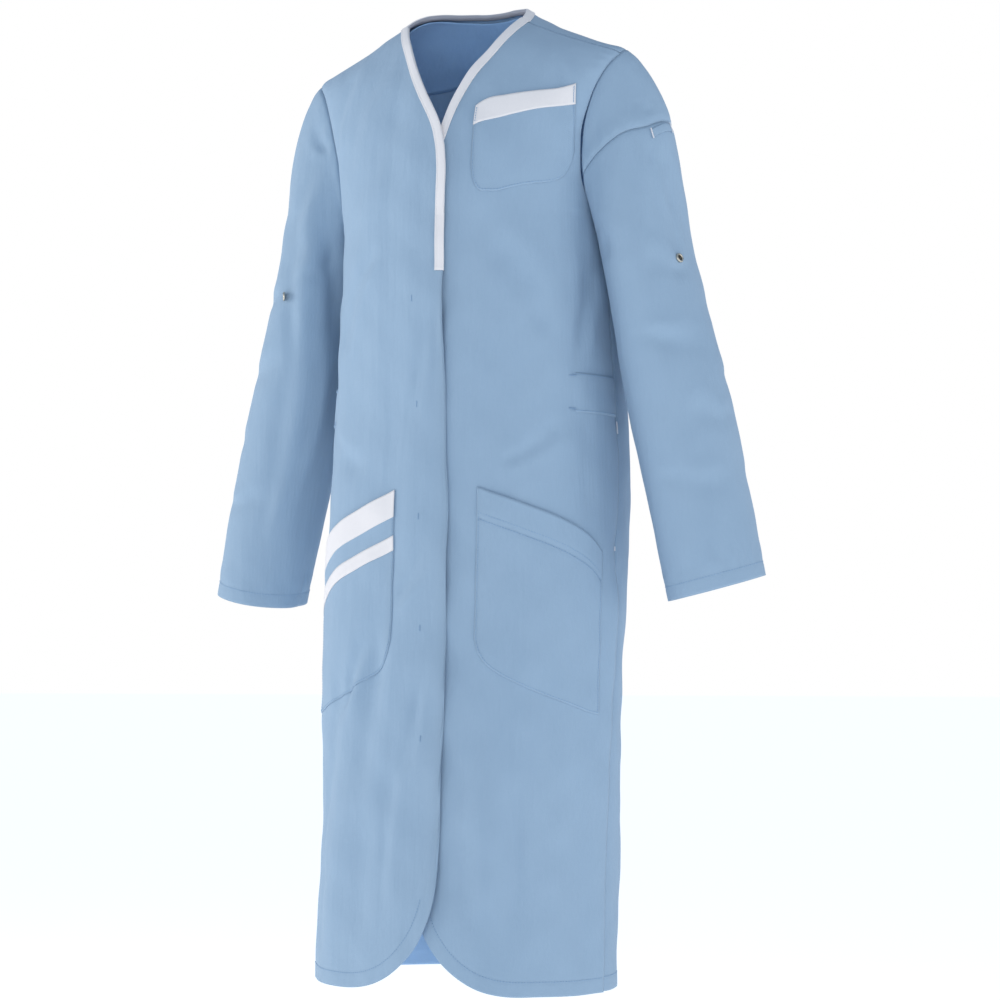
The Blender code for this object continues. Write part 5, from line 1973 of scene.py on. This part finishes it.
LEFT_SLEEVE_CREASES = (
    (59.0, 0.44, 55.0, 0.62, 54.0, 0.84, 0.0075, 0.0022),
    (71.0, 0.46, 71.0, 0.66, 74.0, 0.90, 0.0080, 0.0024),
    (84.0, 0.48, 86.0, 0.70, 90.0, 0.96, 0.0085, 0.0020),
    (64.0, 0.74, 66.0, 0.92, 60.0, 1.12, 0.0090, 0.0016),
    (60.0, 0.24, 66.0, 0.31, 70.0, 0.37, 0.0060, 0.0016),
    (78.0, 0.26, 82.0, 0.33, 86.0, 0.38, 0.0060, 0.0014),
    (46.0, 0.36, 40.0, 0.60, 36.0, 0.86, 0.0100, 0.0016),
)
RIGHT_SLEEVE_CREASES = (
    (35.0, 0.10, 27.5, 0.56, 15.0, 1.28, 0.0095, -0.0048),
    (21.0, 0.14, 10.0, 0.58, 1.0, 1.25, 0.0190, 0.0064),
    (15.0, 1.12, 14.0, 1.48, 17.0, 1.82, 0.0100, -0.0045),
    (2.0, 1.12, 1.5, 1.48, 4.0, 1.82, 0.0150, 0.0050),
    (56.0, 0.10, 44.0, 0.14, 31.0, 0.06, 0.0070, 0.0024),
    (74.0, 0.20, 66.0, 0.46, 60.0, 0.76, 0.0120, 0.0018),
    (48.0, 0.50, 40.0, 0.72, 38.0, 0.94, 0.0120, 0.0018),
    (26.0, 0.30, 27.0, 0.58, 32.0, 0.90, 0.0100, 0.0018),
)


@dataclass
class CreasePlan:
    """Lays the creases on the forms, and makes the drapes from them."""

    body: BodyForm
    arm: ArmForm

    def on_body(self) -> Drape:
        """The creases that all pieces of the body share."""
        low = [
            self._made(self.body.low, row, index, 1.7)
            for index, row in enumerate(self._both_sides(LOW_CREASES))
        ]
        high = [
            self._made(self.body.high, row, 40 + index)
            for index, row in enumerate(self._both_sides(HIGH_CREASES))
        ]
        return Drape(tuple(low + high))

    def on_sleeve(self, side: int) -> Drape:
        """The creases of one sleeve: +1 for the wearer's left one, -1 for the right one."""
        own = LEFT_SLEEVE_CREASES if side > 0 else RIGHT_SLEEVE_CREASES
        creases = [
            self._made(self.arm.bare, row, 80 + 7 * side + index)
            for index, row in enumerate(SLEEVE_CREASES + own)
        ]
        return Drape(tuple(creases), 0.0009)

    @staticmethod
    def _both_sides(rows: Iterable[tuple[float, ...]]) -> Iterable[tuple[float, ...]]:
        """The rows, each with its mirror image after it where it has one."""
        for *row, mirrored in rows:
            yield tuple(row)
            if mirrored:
                yield tuple(-c if k in (0, 2, 4) else c for k, c in enumerate(row))

    @staticmethod
    def _made(
        form: Callable[[Array, Array], Array], row: tuple[float, ...], index: int,
        strength: float = 1.0,
    ) -> Crease:
        """One crease through points of a form.

        Args:
            form: Gives points for the two measures.
            row: The crease's row of numbers.
            index: Its place in the order, which sets how uneven it is.
            strength: How much deeper it goes than its row says.

        Returns:
            The crease.
        """
        share = np.linspace(0, 1, 9)
        first = np.interp(share, [0, 0.5, 1], row[0:6:2])
        second = np.interp(share, [0, 0.5, 1], row[1:6:2])
        path = tuple(tuple(float(c) for c in point) for point in form(first, second))
        return Crease(path, row[6], row[7] * strength, 0.45, 1.7 * index)


@dataclass
class Coat:
    """The whole coat."""

    shop: Workshop = field(default_factory=Workshop)

    def build(self) -> None:
        """Makes every piece of the coat, in order, and reports each."""
        body = BodyForm()
        arm = ArmForm(body)
        plan = CreasePlan(body, arm)
        drape = plan.on_body()
        left, right = Front(body, drape, 1), Front(body, drape, -1)
        back = Back(body, drape)
        sleeve_left = Sleeve(arm, plan.on_sleeve(1), 1)
        sleeve_right = Sleeve(arm, plan.on_sleeve(-1), -1)
        for part in (
            left, right, back, sleeve_left, sleeve_right, HipPocket(left), HipPocket(right),
            ChestPocket(left), WaistTab(left), WaistTab(right), PenWelt(sleeve_left),
            NeckFacing(back), NeckBinding(left, right, back), SleeveSnap(sleeve_left, 66.0),
            SleeveSnap(sleeve_right, 31.0, tilt=0.62), Bartacks(left, right, sleeve_left),
        ):
            part.build(self.shop)
            log.info("%s: %d pieces so far", type(part).__name__, len(self.shop.made))


def main() -> None:
    """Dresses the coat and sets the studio."""
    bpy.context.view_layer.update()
    Coat().build()
    Studio().build()


if __name__ == "__main__":
    logging.basicConfig(level=logging.INFO, format="%(message)s")
    main()
